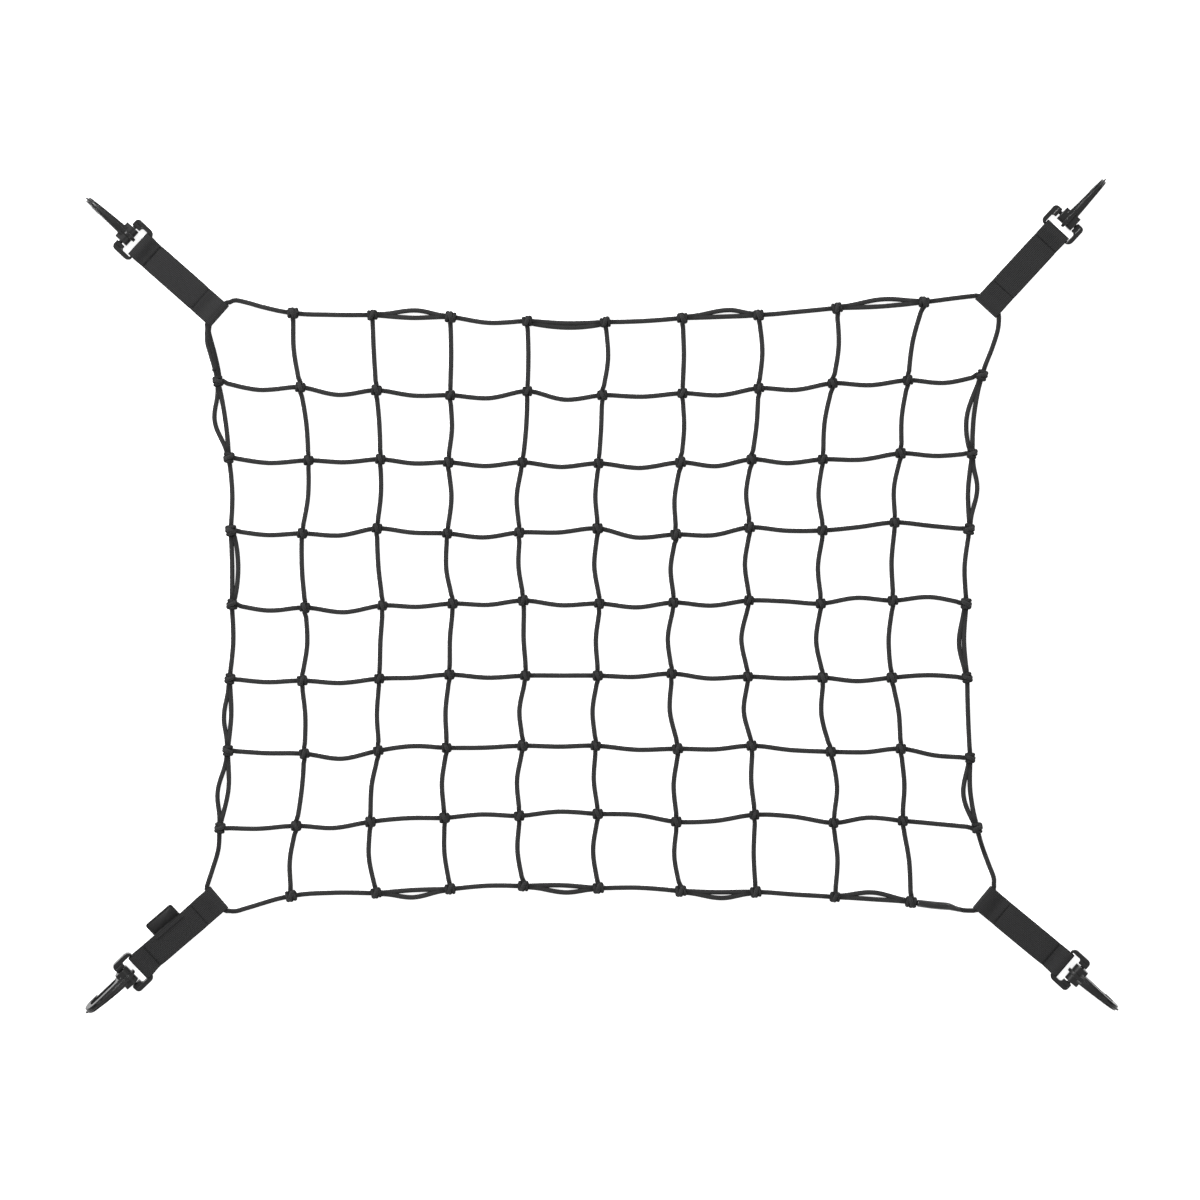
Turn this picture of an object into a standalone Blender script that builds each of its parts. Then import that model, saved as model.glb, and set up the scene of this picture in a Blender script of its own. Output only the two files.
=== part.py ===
"""A knotted elastic cargo net, laid flat: nine columns and seven rows of cord inside one edge cord,
with a sewn webbing strap and a moulded snap hook at each corner.

The net lies in the XY plane, the way it was laid out for its photograph, with +Y up the picture.
Places on the net were read by hand from the photograph, as pixels of PIXEL metres each.
"""

import math

import bmesh
import bpy
from mathutils import Matrix, Vector

MM = 0.001
PIXEL = 0.9 * MM
ORIGIN_PIXEL = (601.31, 595.47)  # the photograph's point that lies at the origin
GAP = 0.3 * MM  # between pieces that touch
ROUND_SIDES = 16  # of the bars, bores and barrels

# Cord: six-sided in section, with a flat side down.
CORD_DIAMETER = 4.0 * MM
CORD_SIDES = 6
CORD_LOW = CORD_DIAMETER / 2  # height of the centre of a cord on the floor
CORD_HIGH = CORD_LOW + CORD_DIAMETER + GAP  # height of the centre where it crosses another
CORD_IN_STRAP = 3.6 * MM  # height of the centre inside a strap's eye
KNOT_HALF = 6.0 * MM  # the upper cord stays high this far on each side of a knot
MOST_KNOT_SHARE = 0.9  # but at most this share of the way to the edge cord's next control
SLOPE_SHARE = 0.36  # the upper cord is back on the floor at this share of a span
CORD_TAIL = 3.0 * MM  # a column or row runs on this far under the edge cord
LINK_SPACING = 5.3 * MM  # least distance between the centres of the edge cord and a link
LINK_INSET = 4.0 * MM  # a link stops this far short of each knot
LINK_SECTION_SHIFT = 0.04  # its section on the slope lies this share past the slope's middle

# Knots, in pixels: one list for each line of knots, from left to right.
KNOT_ROWS = {
    "top": [(293, 313), (372, 315), (450, 317), (527, 321), (605, 322),
            (682, 318), (758, 315), (836, 308), (923, 302)],
    "row_1": [(218, 381), (300, 387), (376, 390), (450, 395), (527, 391), (602, 395),
              (682, 393), (758, 388), (832, 383), (907, 380), (981, 375)],
    "row_2": [(229, 457), (308, 460), (380, 459), (448, 462), (522, 462), (598, 463),
              (680, 462), (751, 459), (822, 459), (900, 453), (971, 453)],
    "row_3": [(231, 530), (302, 533), (377, 528), (447, 533), (519, 532), (597, 528),
              (675, 534), (749, 527), (822, 530), (894, 522), (968, 529)],
    "row_4": [(232, 604), (305, 607), (382, 605), (452, 603), (523, 600), (599, 603),
              (673, 602), (748, 600), (820, 603), (892, 600), (965, 603)],
    "row_5": [(230, 678), (302, 680), (379, 678), (449, 674), (525, 675), (597, 675),
              (671, 673), (747, 676), (822, 677), (891, 677), (966, 677)],
    "row_6": [(228, 750), (304, 753), (378, 750), (446, 747), (522, 745), (595, 745),
              (677, 748), (751, 745), (830, 751), (900, 748), (969, 757)],
    "row_7": [(220, 827), (296, 825), (370, 821), (444, 817), (519, 815), (597, 813),
              (676, 821), (754, 814), (833, 822), (902, 820), (976, 827)],
    "bottom": [(291, 895), (376, 892), (450, 888), (523, 885), (598, 887),
               (680, 890), (755, 891), (834, 896), (910, 901)],
}
ROW_NAMES = ["row_1", "row_2", "row_3", "row_4", "row_5", "row_6", "row_7"]
COLUMN_COUNT = 9

# How far the middle of each span bows down the picture, in pixels, from left to right.
ROW_BOWS = {
    "row_1": [5.5, 6.0, 2.7, 4.8, 6.3, 2.3, 4.3, 4.0, 3.3, 5.0],
    "row_2": [4.0, 2.3, 2.5, 3.6, 4.0, 5.0, 5.2, 3.7, 3.2, 2.5],
    "row_3": [3.0, 4.5, 1.6, 4.4, 2.0, 6.0, 4.3, 1.7, 0.6, 0.0],
    "row_4": [4.5, 5.7, 2.3, 2.8, 3.2, 4.3, 4.1, -0.7, -4.2, -5.0],
    "row_5": [2.5, 3.4, 1.1, 2.6, 0.0, 2.3, 3.4, 1.3, 3.5, -2.4],
    "row_6": [1.0, 6.6, -3.0, 1.0, 1.0, 2.6, 2.2, 1.4, 2.0, 2.3],
    "row_7": [2.0, 4.3, -1.5, -2.2, -3.0, -2.7, 2.7, -2.0, -4.0, 0.0],
}
# How far the middle of each span bows to the right, in pixels, from top to bottom.
COLUMN_BOWS = [
    [-3.0, 2.0, 2.7, -1.8, 3.4, 2.0, 1.4, -4.0],
    [-0.5, 1.0, 2.0, -1.5, -0.5, -2.0, -2.8, -4.5],
    [0.7, 2.5, 3.5, -3.7, -1.0, -2.4, -3.5, -3.0],
    [0.9, 1.2, -4.3, -3.0, -0.9, -4.6, -4.0, -4.0],
    [4.0, 0.5, -2.7, -4.3, -2.7, -4.0, -2.8, -5.0],
    [1.3, 2.5, -3.5, -4.0, -4.8, -4.8, -3.5, -4.3],
    [3.7, 1.5, -4.5, -4.3, -6.8, -5.9, -2.0, -1.5],
    [4.0, -3.0, -4.2, -3.8, -5.6, -5.3, 4.8, 3.3],
    [-3.0, -2.5, -3.8, -2.2, -3.6, 2.5, 2.6, 2.4],
]
# The same for the edge cord: down the picture on the top and bottom, to the right on the sides.
EDGE_BOWS = {
    "top": [0.5, 1.5, 3.5, 1.5, 0.7, 0.0, 0.0, 1.2],
    "bottom": [-1.5, -0.7, -1.5, -1.5, -1.5, 1.0, 0.3, 0.0],
    "left": [1.5, 2.0, 0.4, 2.0, 2.0, 4.2],
    "right": [-2.7, -2.3, -2.7, -2.3, -0.2, -2.9],
}
# Links beside the edge cord: the span, counted from 0, the bow at the peak in pixels, and the
# share of the span at which the peak lies.
LINKS = {
    "top": [(1, -7.0, 0.56), (3, 8.0, 0.55), (5, -7.0, 0.66), (7, -6.8, 0.57)],
    "bottom": [(1, 7.5, 0.46), (3, 5.5, 0.62), (5, 6.8, 0.56), (7, -8.7, 0.47)],
    "left": [(0, -9.5, 0.43), (2, 6.4, 0.60), (4, -5.2, 0.50), (5, -6.0, 0.50)],
    "right": [(0, -9.5, 0.58), (1, 7.0, 0.40), (3, -8.4, 0.50), (5, -9.7, 0.50)],
}

# Straps, in pixels: the middle of the inner end, the middle of the outer end, the roll of the
# hook about its length in degrees, and how far the hook has slid along its bar.
CORNERS = {
    "tl": {"inner": (219.8, 316.3), "outer": (137.5, 243.7), "roll": 4.5, "slide": 0.1 * MM},
    "tr": {"inner": (984.4, 308.4), "outer": (1057.5, 229.0), "roll": 1.0, "slide": -0.4 * MM},
    "bl": {"inner": (219.4, 896.1), "outer": (137.5, 966.2), "roll": -17.0, "slide": -1.0 * MM},
    "br": {"inner": (980.6, 895.7), "outer": (1064.5, 964.8), "roll": 7.0, "slide": 0.3 * MM},
}
# The edge cord between a strap and the nearest knot, in pixels and metres above the floor, from
# the strap outwards. "first" is the side reached first going clockwise from the bottom edge.
CORNER_CORD = {
    "bl": {
        "first": [(235.2, 910.4, 3.2 * MM), (246.5, 907.3, 2.4 * MM)],
        "second": [(212.6, 867.8, 2.4 * MM), (218.2, 849.0, 3.6 * MM)],
    },
    "tl": {
        "first": [(204.9, 342.2, 2.8 * MM), (208.9, 358.4, 3.6 * MM)],
        "second": [(238.6, 300.8, 3.2 * MM), (262.0, 307.1, 2.2 * MM)],
    },
    "tr": {
        "first": [(967.2, 296.4, 3.4 * MM), (950.7, 298.3, 2.6 * MM)],
        "second": [(997.1, 328.2, 3.2 * MM), (992.0, 345.8, 2.4 * MM)],
    },
    "br": {
        "first": [(993.0, 878.1, 3.2 * MM), (987.6, 863.0, 2.2 * MM), (981.1, 845.7, 4.0 * MM)],
        "second": [(962.0, 909.3, 3.6 * MM)],
    },
}
# The second strand at the upper left corner, from the knot up to the strap.
CORNER_LINK = [(220.4, 371.5, 4.9 * MM), (215.2, 358.4, 3.6 * MM), (212.0, 345.6, 2.8 * MM),
               (210.8, 334.0, 3.4 * MM)]

# Splice sleeve: pixels, height of the centre, and radius, from the knot towards the strap.
SLEEVE_SECTIONS = [
    {"at": (916.6, 902.0), "height": 5.9 * MM, "radius": 3.0 * MM},
    {"at": (930.0, 903.8), "height": 5.0 * MM, "radius": 3.2 * MM},
    {"at": (948.0, 905.6), "height": 4.1 * MM, "radius": 3.2 * MM},
    {"at": (954.5, 907.4), "height": 3.8 * MM, "radius": 2.7 * MM},
    {"at": (961.2, 909.2), "height": 3.6 * MM, "radius": 2.3 * MM},
]
SLEEVE_SIDES = 12
SLEEVE_LEFT_END = (915.9, 901.9)  # where the edge cord meets the sleeve beside the knot

# Straps: one loop of webbing, sewn flat in the middle, with an eye at each end.
STRAP_WIDTH = 25.4 * MM
STRAP_THICKNESS = 1.3 * MM
STRAP_LAYERS_TOP = 2 * STRAP_THICKNESS + GAP
EYE_TOP = 2 * STRAP_THICKNESS + CORD_DIAMETER + 2 * GAP
INNER_EYE_LENGTH = 6.8 * MM  # from the fold to where the top layer starts to come down
OUTER_EYE_LENGTH = 6.4 * MM
EYE_SAG = 0.15 * MM  # how much lower the top layer is there
INNER_SLOPE_END = 16.0 * MM
OUTER_SLOPE_END = 13.5 * MM
FOLD_CORNER = 2.6 * MM  # the flat part of each layer starts this far from a fold
FOLD_CORNER_SHARE = 0.3  # and this share of the inset further on an inset outline
# Points of a fold below its middle: distance from the strap's end, height, and how far an inset
# outline's point moves along and up for each unit of inset.
FOLD_POINTS = [
    (FOLD_CORNER / 3, 0.7 * MM, 0.72, 0.8),
    (0.0, 2.4 * MM, 1.0, 0.25),
]
STRAP_STATIONS = (0.22, 0.29, 0.36, 0.70)  # shares of the strap's length
TWIST_START = 0.14  # the strap twists towards the hook between these shares of its length
TWIST_END = 0.36
CORD_FROM_END = 4.0 * MM  # the edge cord's centre, from the strap's inner end
CORD_BESIDE_STRAP = 0.6 * MM  # the edge cord leaves the eye this far outside the strap's edge
CORD_TURN = (3.0 * MM, 3.2 * MM)  # where it turns: from the strap's end, and from its edge

# Label tab in the edge of the lower left strap.
TAB_LENGTH = 30.2 * MM
TAB_WIDTH = 12.5 * MM
TAB_THICKNESS = 1.2 * MM
TAB_CORNER = 2.5 * MM
TAB_CORNER_STEPS = 3
TAB_FROM_END = 35.9 * MM  # its nearer end, from the strap's inner end
TAB_HEIGHT = 0.9 * MM  # its underside

# Hook base: X runs outwards from the front bar's axis, Y across, Z up.
BASE_WIDTH = 35.0 * MM
BASE_WINDOW = 26.6 * MM
BASE_THROAT = 19.0 * MM  # between the bosses that hold the front bar
BASE_FRONT = 3.5 * MM
BASE_BOSS_REAR = -5.6 * MM
BOSS_CHAMFER = 1.2 * MM
BASE_REAR = -17.5 * MM
BASE_HEIGHT = 5.0 * MM
FRONT_CORNER = 3.8 * MM
FRONT_CORNER_STEPS = 4
REAR_CORNER = 5.5 * MM
REAR_CORNER_STEPS = 3
REAR_BAR_LENGTH = 2.7 * MM
REAR_BAR_HEIGHT = 3.6 * MM
BAR_OVERLAP = 0.5 * MM  # how far the bars run into the arms
# The back of the rear bar near each arm, from the window's side: distance from the bar's back
# face and from the side.
BAR_BACK = [(0.0, 2.1 * MM), (0.6 * MM, 0.4 * MM), (1.0 * MM, -BAR_OVERLAP)]
FRONT_BAR_RADIUS = 1.8 * MM
STRAP_END_TO_BAR = 11.5 * MM  # from the strap's outer end to the front bar's axis

# Hook: X runs from the knuckle to the tip, Z up to the spine.
KNUCKLE_RADIUS = 6.1 * MM
KNUCKLE_WIDTH = 16.4 * MM
KNUCKLE_ANGLES = (92.0, 350.0)  # it is round from one to the other, in degrees
KNUCKLE_STEPS = 17
KNUCKLE_FRONT = [(7.2, -0.8), (7.2, 5.8)]  # and square in front, in mm
RIB_RADIUS = 8.4 * MM
RIB_ANGLES = (185.0, 75.0)  # the rib runs over the knuckle from one to the other, in degrees
RIB_STEPS = 8
RIB_DEPTH = 1.0 * MM  # how far it reaches into the knuckle
RIB_INNER_STEPS = 6
RIB_WIDTH = 3.0 * MM
RIDGE_HEIGHT = 1.2 * MM
RIDGE_BACK = 0.6 * MM  # the ridge's lower edge, inside the blade, lies this far behind
RIDGE_NARROWS_X = 30.0 * MM
NUB_WIDTH = 1.4 * MM
NUB = [(49.0, 3.0), (49.0, 0.4), (46.4, 0.2)]  # the ridge's end at the tip, in mm
BORE_OVERHANG = 2.0 * MM
ROOT_WIDTH = 9.0 * MM
ROOT_X = 6.5 * MM
TIP_WIDTH = 5.3 * MM
TIP_X = 44.0 * MM
NOSE_BOTTOM = -9.0 * MM
NOSE_REST_X = 34.4 * MM  # where the nose lies on the floor
GATE_PIVOT = (9.8 * MM, -4.9 * MM)  # X and Z
GATE_BARREL_RADIUS = 1.8 * MM
GATE_TIP = (34.0 * MM, -4.1 * MM)
GATE_ROOT_THICKNESS = 2.4 * MM
GATE_TIP_THICKNESS = 2.2 * MM
GATE_TIP_STEPS = 4
GATE_ROOT_WIDTH = 7.6 * MM
GATE_TIP_WIDTH = 6.0 * MM

# Side outline of the hook, in mm: from the knuckle along the spine, round the tip and along the
# nose.
HOOK_ROOT = [(-2.0, 4.6), (3.0, 5.8)]
HOOK_SPINE = [
    (8.0, 7.6), (14.0, 8.8), (22.0, 9.2), (36.0, 8.9), (41.0, 7.9), (44.6, 5.6), (46.8, 2.2),
]
HOOK_TIP = [
    (47.4, -1.4), (46.5, -4.9), (44.2, -7.7), (41.0, -9.0), (34.4, -9.0), (32.6, -8.5),
    (32.0, -7.4), (32.3, -6.2), (33.3, -5.5),
]
# The eye, from the nose round the tip's inner side and back along the spine to the gate's seat.
HOOK_INNER = [
    (37.2, -5.4), (39.3, -4.6), (40.3, -3.2), (40.3, 1.4), (39.5, 3.0), (37.6, 3.9),
    (22.0, 4.1), (14.0, 3.8), (11.2, 2.6), (9.8, 0.6), (9.5, -1.6),
]
SEAT_ANGLES = (88.0, 235.0)  # the seat round the gate's barrel, in degrees
SEAT_STEPS = 6
HOOK_UNDERSIDE = [(7.0, -6.4), (3.0, -5.4), (-2.0, -4.6)]

MATERIALS = {
    "elastic_cord": {"colour": (0.030, 0.031, 0.036), "roughness": 0.75},
    "webbing": {"colour": (0.018, 0.018, 0.021), "roughness": 0.80},
    "hook_plastic": {"colour": (0.012, 0.012, 0.014), "roughness": 0.35},
    "label": {"colour": (0.022, 0.022, 0.025), "roughness": 0.55},
    "sleeve": {"colour": (0.020, 0.020, 0.023), "roughness": 0.40},
}


def clear_scene():
    for obj in list(bpy.data.objects):
        bpy.data.objects.remove(obj, do_unlink=True)


def material(name):
    found = bpy.data.materials.get(name)
    if found:
        return found
    made = bpy.data.materials.new(name)
    made.use_nodes = True
    shader = made.node_tree.nodes["Principled BSDF"]
    shader.inputs["Base Color"].default_value = (*MATERIALS[name]["colour"], 1.0)
    shader.inputs["Roughness"].default_value = MATERIALS[name]["roughness"]
    shader.inputs["Metallic"].default_value = 0.0
    return made


def add_object(name, shape, material_name, matrix=None):
    """Makes a bmesh an object with its own material, placed by matrix."""
    bmesh.ops.recalc_face_normals(shape, faces=shape.faces)
    mesh = bpy.data.meshes.new(name)
    shape.to_mesh(mesh)
    shape.free()
    mesh.shade_smooth()
    mesh.set_sharp_from_angle(angle=math.radians(35))
    mesh.materials.append(material(material_name))
    obj = bpy.data.objects.new(name, mesh)
    bpy.context.scene.collection.objects.link(obj)
    if matrix is not None:
        obj.matrix_world = matrix
    return obj


def add_helper(name, shape, matrix=None):
    """A shape that only a Boolean uses."""
    obj = add_object(name, shape, "hook_plastic", matrix)
    obj.hide_render = True
    obj.display_type = "WIRE"
    return obj


def boolean(obj, other, operation):
    modifier = obj.modifiers.new(other.name, "BOOLEAN")
    modifier.operation = operation
    modifier.object = other
    modifier.solver = "EXACT"


def photo_point(pixel, height=0.0):
    x = (pixel[0] - ORIGIN_PIXEL[0]) * PIXEL
    y = (ORIGIN_PIXEL[1] - pixel[1]) * PIXEL
    return Vector((x, y, height))


def smooth_step(share):
    share = min(max(share, 0.0), 1.0)
    return share * share * (3.0 - 2.0 * share)


# Curves and cords


def curve_point(controls, place):
    """The point at a place, 0 to the number of controls less 1, of a smooth curve through them.
    It is a centripetal Catmull-Rom curve, which doesn't overshoot where controls lie close."""
    last = len(controls) - 1
    index = min(int(place), last - 1)
    share = place - index
    before = controls[index - 1] if index > 0 else 2 * controls[0] - controls[1]
    after = controls[index + 2] if index + 2 <= last else 2 * controls[last] - controls[last - 1]
    points = [before, controls[index], controls[index + 1], after]
    times = [0.0]
    for first, second in zip(points, points[1:]):
        times.append(times[-1] + math.sqrt((second - first).length))
    at = times[1] + share * (times[2] - times[1])

    def between(first, second, start, end):
        return first * ((end - at) / (end - start)) + second * ((at - start) / (end - start))

    lower = [between(points[i], points[i + 1], times[i], times[i + 1]) for i in range(3)]
    upper = [between(lower[i], lower[i + 1], times[i], times[i + 2]) for i in range(2)]
    return between(upper[0], upper[1], times[1], times[2])


def tube(centres, radii, sides):
    """A closed tube round the centres. A radius is measured to the flat sides, and one of them
    faces down."""
    shape = bmesh.new()
    rings = []
    for index, centre in enumerate(centres):
        before = centres[max(index - 1, 0)]
        after = centres[min(index + 1, len(centres) - 1)]
        along = (after - before).normalized()
        across = along.cross(Vector((0.0, 0.0, 1.0))).normalized()
        up = across.cross(along)
        reach = radii[index] / math.cos(math.pi / sides)
        ring = []
        for corner in range(sides):
            angle = 2 * math.pi * corner / sides
            offset = across * (reach * math.cos(angle)) + up * (reach * math.sin(angle))
            ring.append(shape.verts.new(centre + offset))
        rings.append(ring)
    for first, second in zip(rings, rings[1:]):
        for corner in range(sides):
            following = (corner + 1) % sides
            shape.faces.new((first[corner], first[following], second[following], second[corner]))
    shape.faces.new(rings[0])
    shape.faces.new(rings[-1])
    return shape


def add_cord(name, centres):
    radii = [CORD_DIAMETER / 2] * len(centres)
    return add_object(name, tube(centres, radii, CORD_SIDES), "elastic_cord")


def span_middle(first, second, bow_x, bow_y):
    """The middle of a span in pixels, moved by its bow."""
    return ((first[0] + second[0]) / 2 + bow_x, (first[1] + second[1]) / 2 + bow_y)


def inner_cord_controls(knots, middles):
    """The plan of a column or row: a tail, then knots and middles in turn, then a tail."""
    points = []
    for knot, middle in zip(knots, middles):
        points += [photo_point(knot), photo_point(middle)]
    points.append(photo_point(knots[-1]))
    start = points[0] + (points[0] - points[1]).normalized() * CORD_TAIL
    end = points[-1] + (points[-1] - points[-2]).normalized() * CORD_TAIL
    return [start, *points, end]


def raised(point, height):
    return Vector((point.x, point.y, height))


def add_row(name):
    knots = KNOT_ROWS[name]
    bows = ROW_BOWS[name]
    middles = [span_middle(a, b, 0.0, bow) for a, b, bow in zip(knots, knots[1:], bows)]
    controls = inner_cord_controls(knots, middles)
    places = [0.0]
    for span in range(len(middles)):
        start = 1 + 2 * span
        places += [start, start + 2 / 3, start + 4 / 3]
    places += [len(controls) - 2, len(controls) - 1]
    centres = [raised(curve_point(controls, place), CORD_LOW) for place in places]
    add_cord("cord_" + name, centres)


def add_column(column):
    """A column starts under the edge cord, crosses over every row and ends under the edge cord."""
    knots = [KNOT_ROWS["top"][column]]
    knots += [KNOT_ROWS[row][column + 1] for row in ROW_NAMES]
    knots.append(KNOT_ROWS["bottom"][column])
    bows = COLUMN_BOWS[column]
    middles = [span_middle(a, b, bow, 0.0) for a, b, bow in zip(knots, knots[1:], bows)]
    controls = inner_cord_controls(knots, middles)
    stations = [(0.0, CORD_LOW)]
    last = len(middles) - 1
    for span in range(len(middles)):
        start = 1 + 2 * span
        half = (controls[start + 1] - controls[start]).length
        if span > 0:
            stations.append((start + KNOT_HALF / half, CORD_HIGH))
        stations.append((start + 2 * SLOPE_SHARE, CORD_LOW))
        stations.append((start + 2 * (1 - SLOPE_SHARE), CORD_LOW))
        if span < last:
            stations.append((start + 2 - KNOT_HALF / half, CORD_HIGH))
    stations.append((len(controls) - 1, CORD_LOW))
    centres = [raised(curve_point(controls, place), height) for place, height in stations]
    add_cord(f"cord_column_{column}", centres)


def edge_line(side):
    """The knots of one side of the net, its bows, and the direction of a positive bow."""
    if side in ("top", "bottom"):
        return KNOT_ROWS[side], (0.0, 1.0)
    end = 0 if side == "left" else -1
    return [KNOT_ROWS[row][end] for row in ROW_NAMES], (1.0, 0.0)


class EdgeRoute:
    """The edge cord's plan and the places along it that carry a section of the tube."""

    def __init__(self):
        self.controls = []
        self.stations = []

    def add_point(self, point):
        self.controls.append(Vector((point.x, point.y, 0.0)))
        self.stations.append(("point", len(self.controls) - 1, point.z))

    def add_knot(self, pixel):
        self.controls.append(photo_point(pixel))
        self.stations.append(("knot", len(self.controls) - 1, CORD_HIGH))

    def add_middle(self, pixel):
        self.controls.append(photo_point(pixel))
        self.stations.append(("middle", len(self.controls) - 1, CORD_LOW))

    def centres(self):
        found = []
        for kind, index, height in self.stations:
            if kind == "point":
                places = [index]
            elif kind == "middle":
                places = [index - 1 + 2 * SLOPE_SHARE, index + 1 - 2 * SLOPE_SHARE]
            else:
                back = KNOT_HALF / (self.controls[index] - self.controls[index - 1]).length
                ahead = KNOT_HALF / (self.controls[index + 1] - self.controls[index]).length
                places = [index - min(back, MOST_KNOT_SHARE), index + min(ahead, MOST_KNOT_SHARE)]
            found += [raised(curve_point(self.controls, place), height) for place in places]
        return found


def add_side(route, side, reverse):
    knots, bow_direction = edge_line(side)
    bows = EDGE_BOWS[side]
    middles = [
        span_middle(a, b, bow * bow_direction[0], bow * bow_direction[1])
        for a, b, bow in zip(knots, knots[1:], bows)
    ]
    if reverse:
        knots = knots[::-1]
        middles = middles[::-1]
    for index, knot in enumerate(knots):
        route.add_knot(knot)
        if index < len(middles):
            route.add_middle(middles[index])


def strap_frame(corner):
    """The strap's place: origin at the middle of its inner end, X along it towards the hook."""
    inner = photo_point(CORNERS[corner]["inner"])
    outer = photo_point(CORNERS[corner]["outer"])
    along = (outer - inner).normalized()
    across = Vector((-along.y, along.x, 0.0))
    rotation = Matrix((along, across, (0.0, 0.0, 1.0))).transposed()
    return Matrix.Translation(inner) @ rotation.to_4x4(), (outer - inner).length


def add_corner(route, corner):
    """The edge cord in to the strap, through its eye and out again. Going clockwise, the cord
    reaches every strap from its left side, seen from the net, and leaves on its right."""
    frame = strap_frame(corner)[0]
    sides = CORNER_CORD[corner]
    half = STRAP_WIDTH / 2
    in_eye = [(CORD_TURN[0], half + CORD_TURN[1]), (CORD_FROM_END, half + CORD_BESIDE_STRAP),
              (CORD_FROM_END, 0.0)]
    for x, y, height in sides["first"][::-1]:
        route.add_point(photo_point((x, y), height))
    for along, across in in_eye:
        route.add_point(frame @ Vector((along, across, CORD_IN_STRAP)))
    for along, across in in_eye[1::-1]:
        route.add_point(frame @ Vector((along, -across, CORD_IN_STRAP)))
    for x, y, height in sides["second"]:
        route.add_point(photo_point((x, y), height))


def add_edge_cord():
    route = EdgeRoute()
    route.add_point(photo_point(SLEEVE_LEFT_END, CORD_HIGH))
    add_side(route, "bottom", reverse=True)
    add_corner(route, "bl")
    add_side(route, "left", reverse=True)
    add_corner(route, "tl")
    add_side(route, "top", reverse=False)
    add_corner(route, "tr")
    add_side(route, "right", reverse=False)
    add_corner(route, "br")
    add_cord("edge_cord", route.centres())


def add_link(side, span, peak_bow, peak_share):
    """A second strand beside the edge cord from knot to knot, bulging away from it."""
    knots, bow_direction = edge_line(side)
    first = photo_point(knots[span])
    second = photo_point(knots[span + 1])
    length = (second - first).length
    bow_way = Vector((bow_direction[0], -bow_direction[1], 0.0))
    edge_bow = EDGE_BOWS[side][span] * PIXEL
    edge_controls = [first, (first + second) / 2 + bow_way * edge_bow, second]
    bulge = peak_bow * PIXEL - edge_bow
    way = 1.0 if bulge > 0 else -1.0
    inset = LINK_INSET / length
    knot_share = KNOT_HALF / length
    half_shares = [inset, knot_share, SLOPE_SHARE / 2 + LINK_SECTION_SHIFT, SLOPE_SHARE]
    centres = []
    for share in half_shares + [1 - share for share in half_shares[::-1]]:
        rise = share / peak_share if share < peak_share else (1 - share) / (1 - peak_share)
        offset = LINK_SPACING + (abs(bulge) - LINK_SPACING) * smooth_step(rise)
        from_knot = min(share, 1 - share)
        high = 1 - (from_knot - knot_share) / (SLOPE_SHARE - knot_share)
        height = CORD_LOW + (CORD_HIGH - CORD_LOW) * min(max(high, 0.0), 1.0)
        place = curve_point(edge_controls, 2 * share)
        centres.append(raised(place + bow_way * (way * offset), height))
    add_cord(f"edge_link_{side}_{span}", centres)


def add_links():
    for side, links in LINKS.items():
        for span, peak_bow, peak_share in links:
            add_link(side, span, peak_bow, peak_share)
    centres = [photo_point((x, y), height) for x, y, height in CORNER_LINK]
    add_cord("edge_link_corner", centres)


def add_splice_sleeve():
    centres = [photo_point(section["at"], section["height"]) for section in SLEEVE_SECTIONS]
    radii = [section["radius"] for section in SLEEVE_SECTIONS]
    add_object("splice_sleeve", tube(centres, radii, SLEEVE_SIDES), "sleeve")


# Straps


def strap_profile(length, inset):
    """The strap's side outline, as distances along it and heights, inset by a thickness: the
    bottom from the inner end to the outer one, the outer fold, and back over the top."""
    corner = FOLD_CORNER + FOLD_CORNER_SHARE * inset
    fold = [(at + inset * along, height + inset * up) for at, height, along, up in FOLD_POINTS]
    fold += [(at, EYE_TOP - height) for at, height in fold[::-1]]
    top = EYE_TOP - inset
    layers_top = STRAP_LAYERS_TOP - inset
    outline = [(corner, inset), (INNER_SLOPE_END, inset)]
    outline += [(share * length, inset) for share in STRAP_STATIONS]
    outline += [(length - OUTER_SLOPE_END, inset), (length - corner, inset)]
    outline += [(length - at, height) for at, height in fold]
    outline += [(length - corner, top), (length - OUTER_EYE_LENGTH, top - EYE_SAG)]
    outline += [(length - OUTER_SLOPE_END, layers_top)]
    outline += [(share * length, layers_top) for share in STRAP_STATIONS[::-1]]
    outline += [(INNER_SLOPE_END, layers_top), (INNER_EYE_LENGTH, top - EYE_SAG)]
    outline += [(corner, top)]
    outline += fold[::-1]
    return outline


def twisted(along, across, height, length, roll):
    """A point of a strap after its twist, which lifts it so that its low edge stays down."""
    share = (along / length - TWIST_START) / (TWIST_END - TWIST_START)
    turn = roll * smooth_step(share)
    y = across * math.cos(turn) - height * math.sin(turn)
    z = across * math.sin(turn) + height * math.cos(turn) + edge_lift(turn)
    return along, y, z


def edge_lift(turn):
    """How far a strap's middle line is lifted by its turn about its length, so that its low edge
    and the low side of the hook's base in its eye stay on the floor."""
    sine = abs(math.sin(turn))
    base_lift = sine * BASE_WIDTH / 2 + math.cos(turn) * (BASE_HEIGHT - EYE_TOP) / 2
    return max(sine * STRAP_WIDTH / 2, base_lift)


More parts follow.
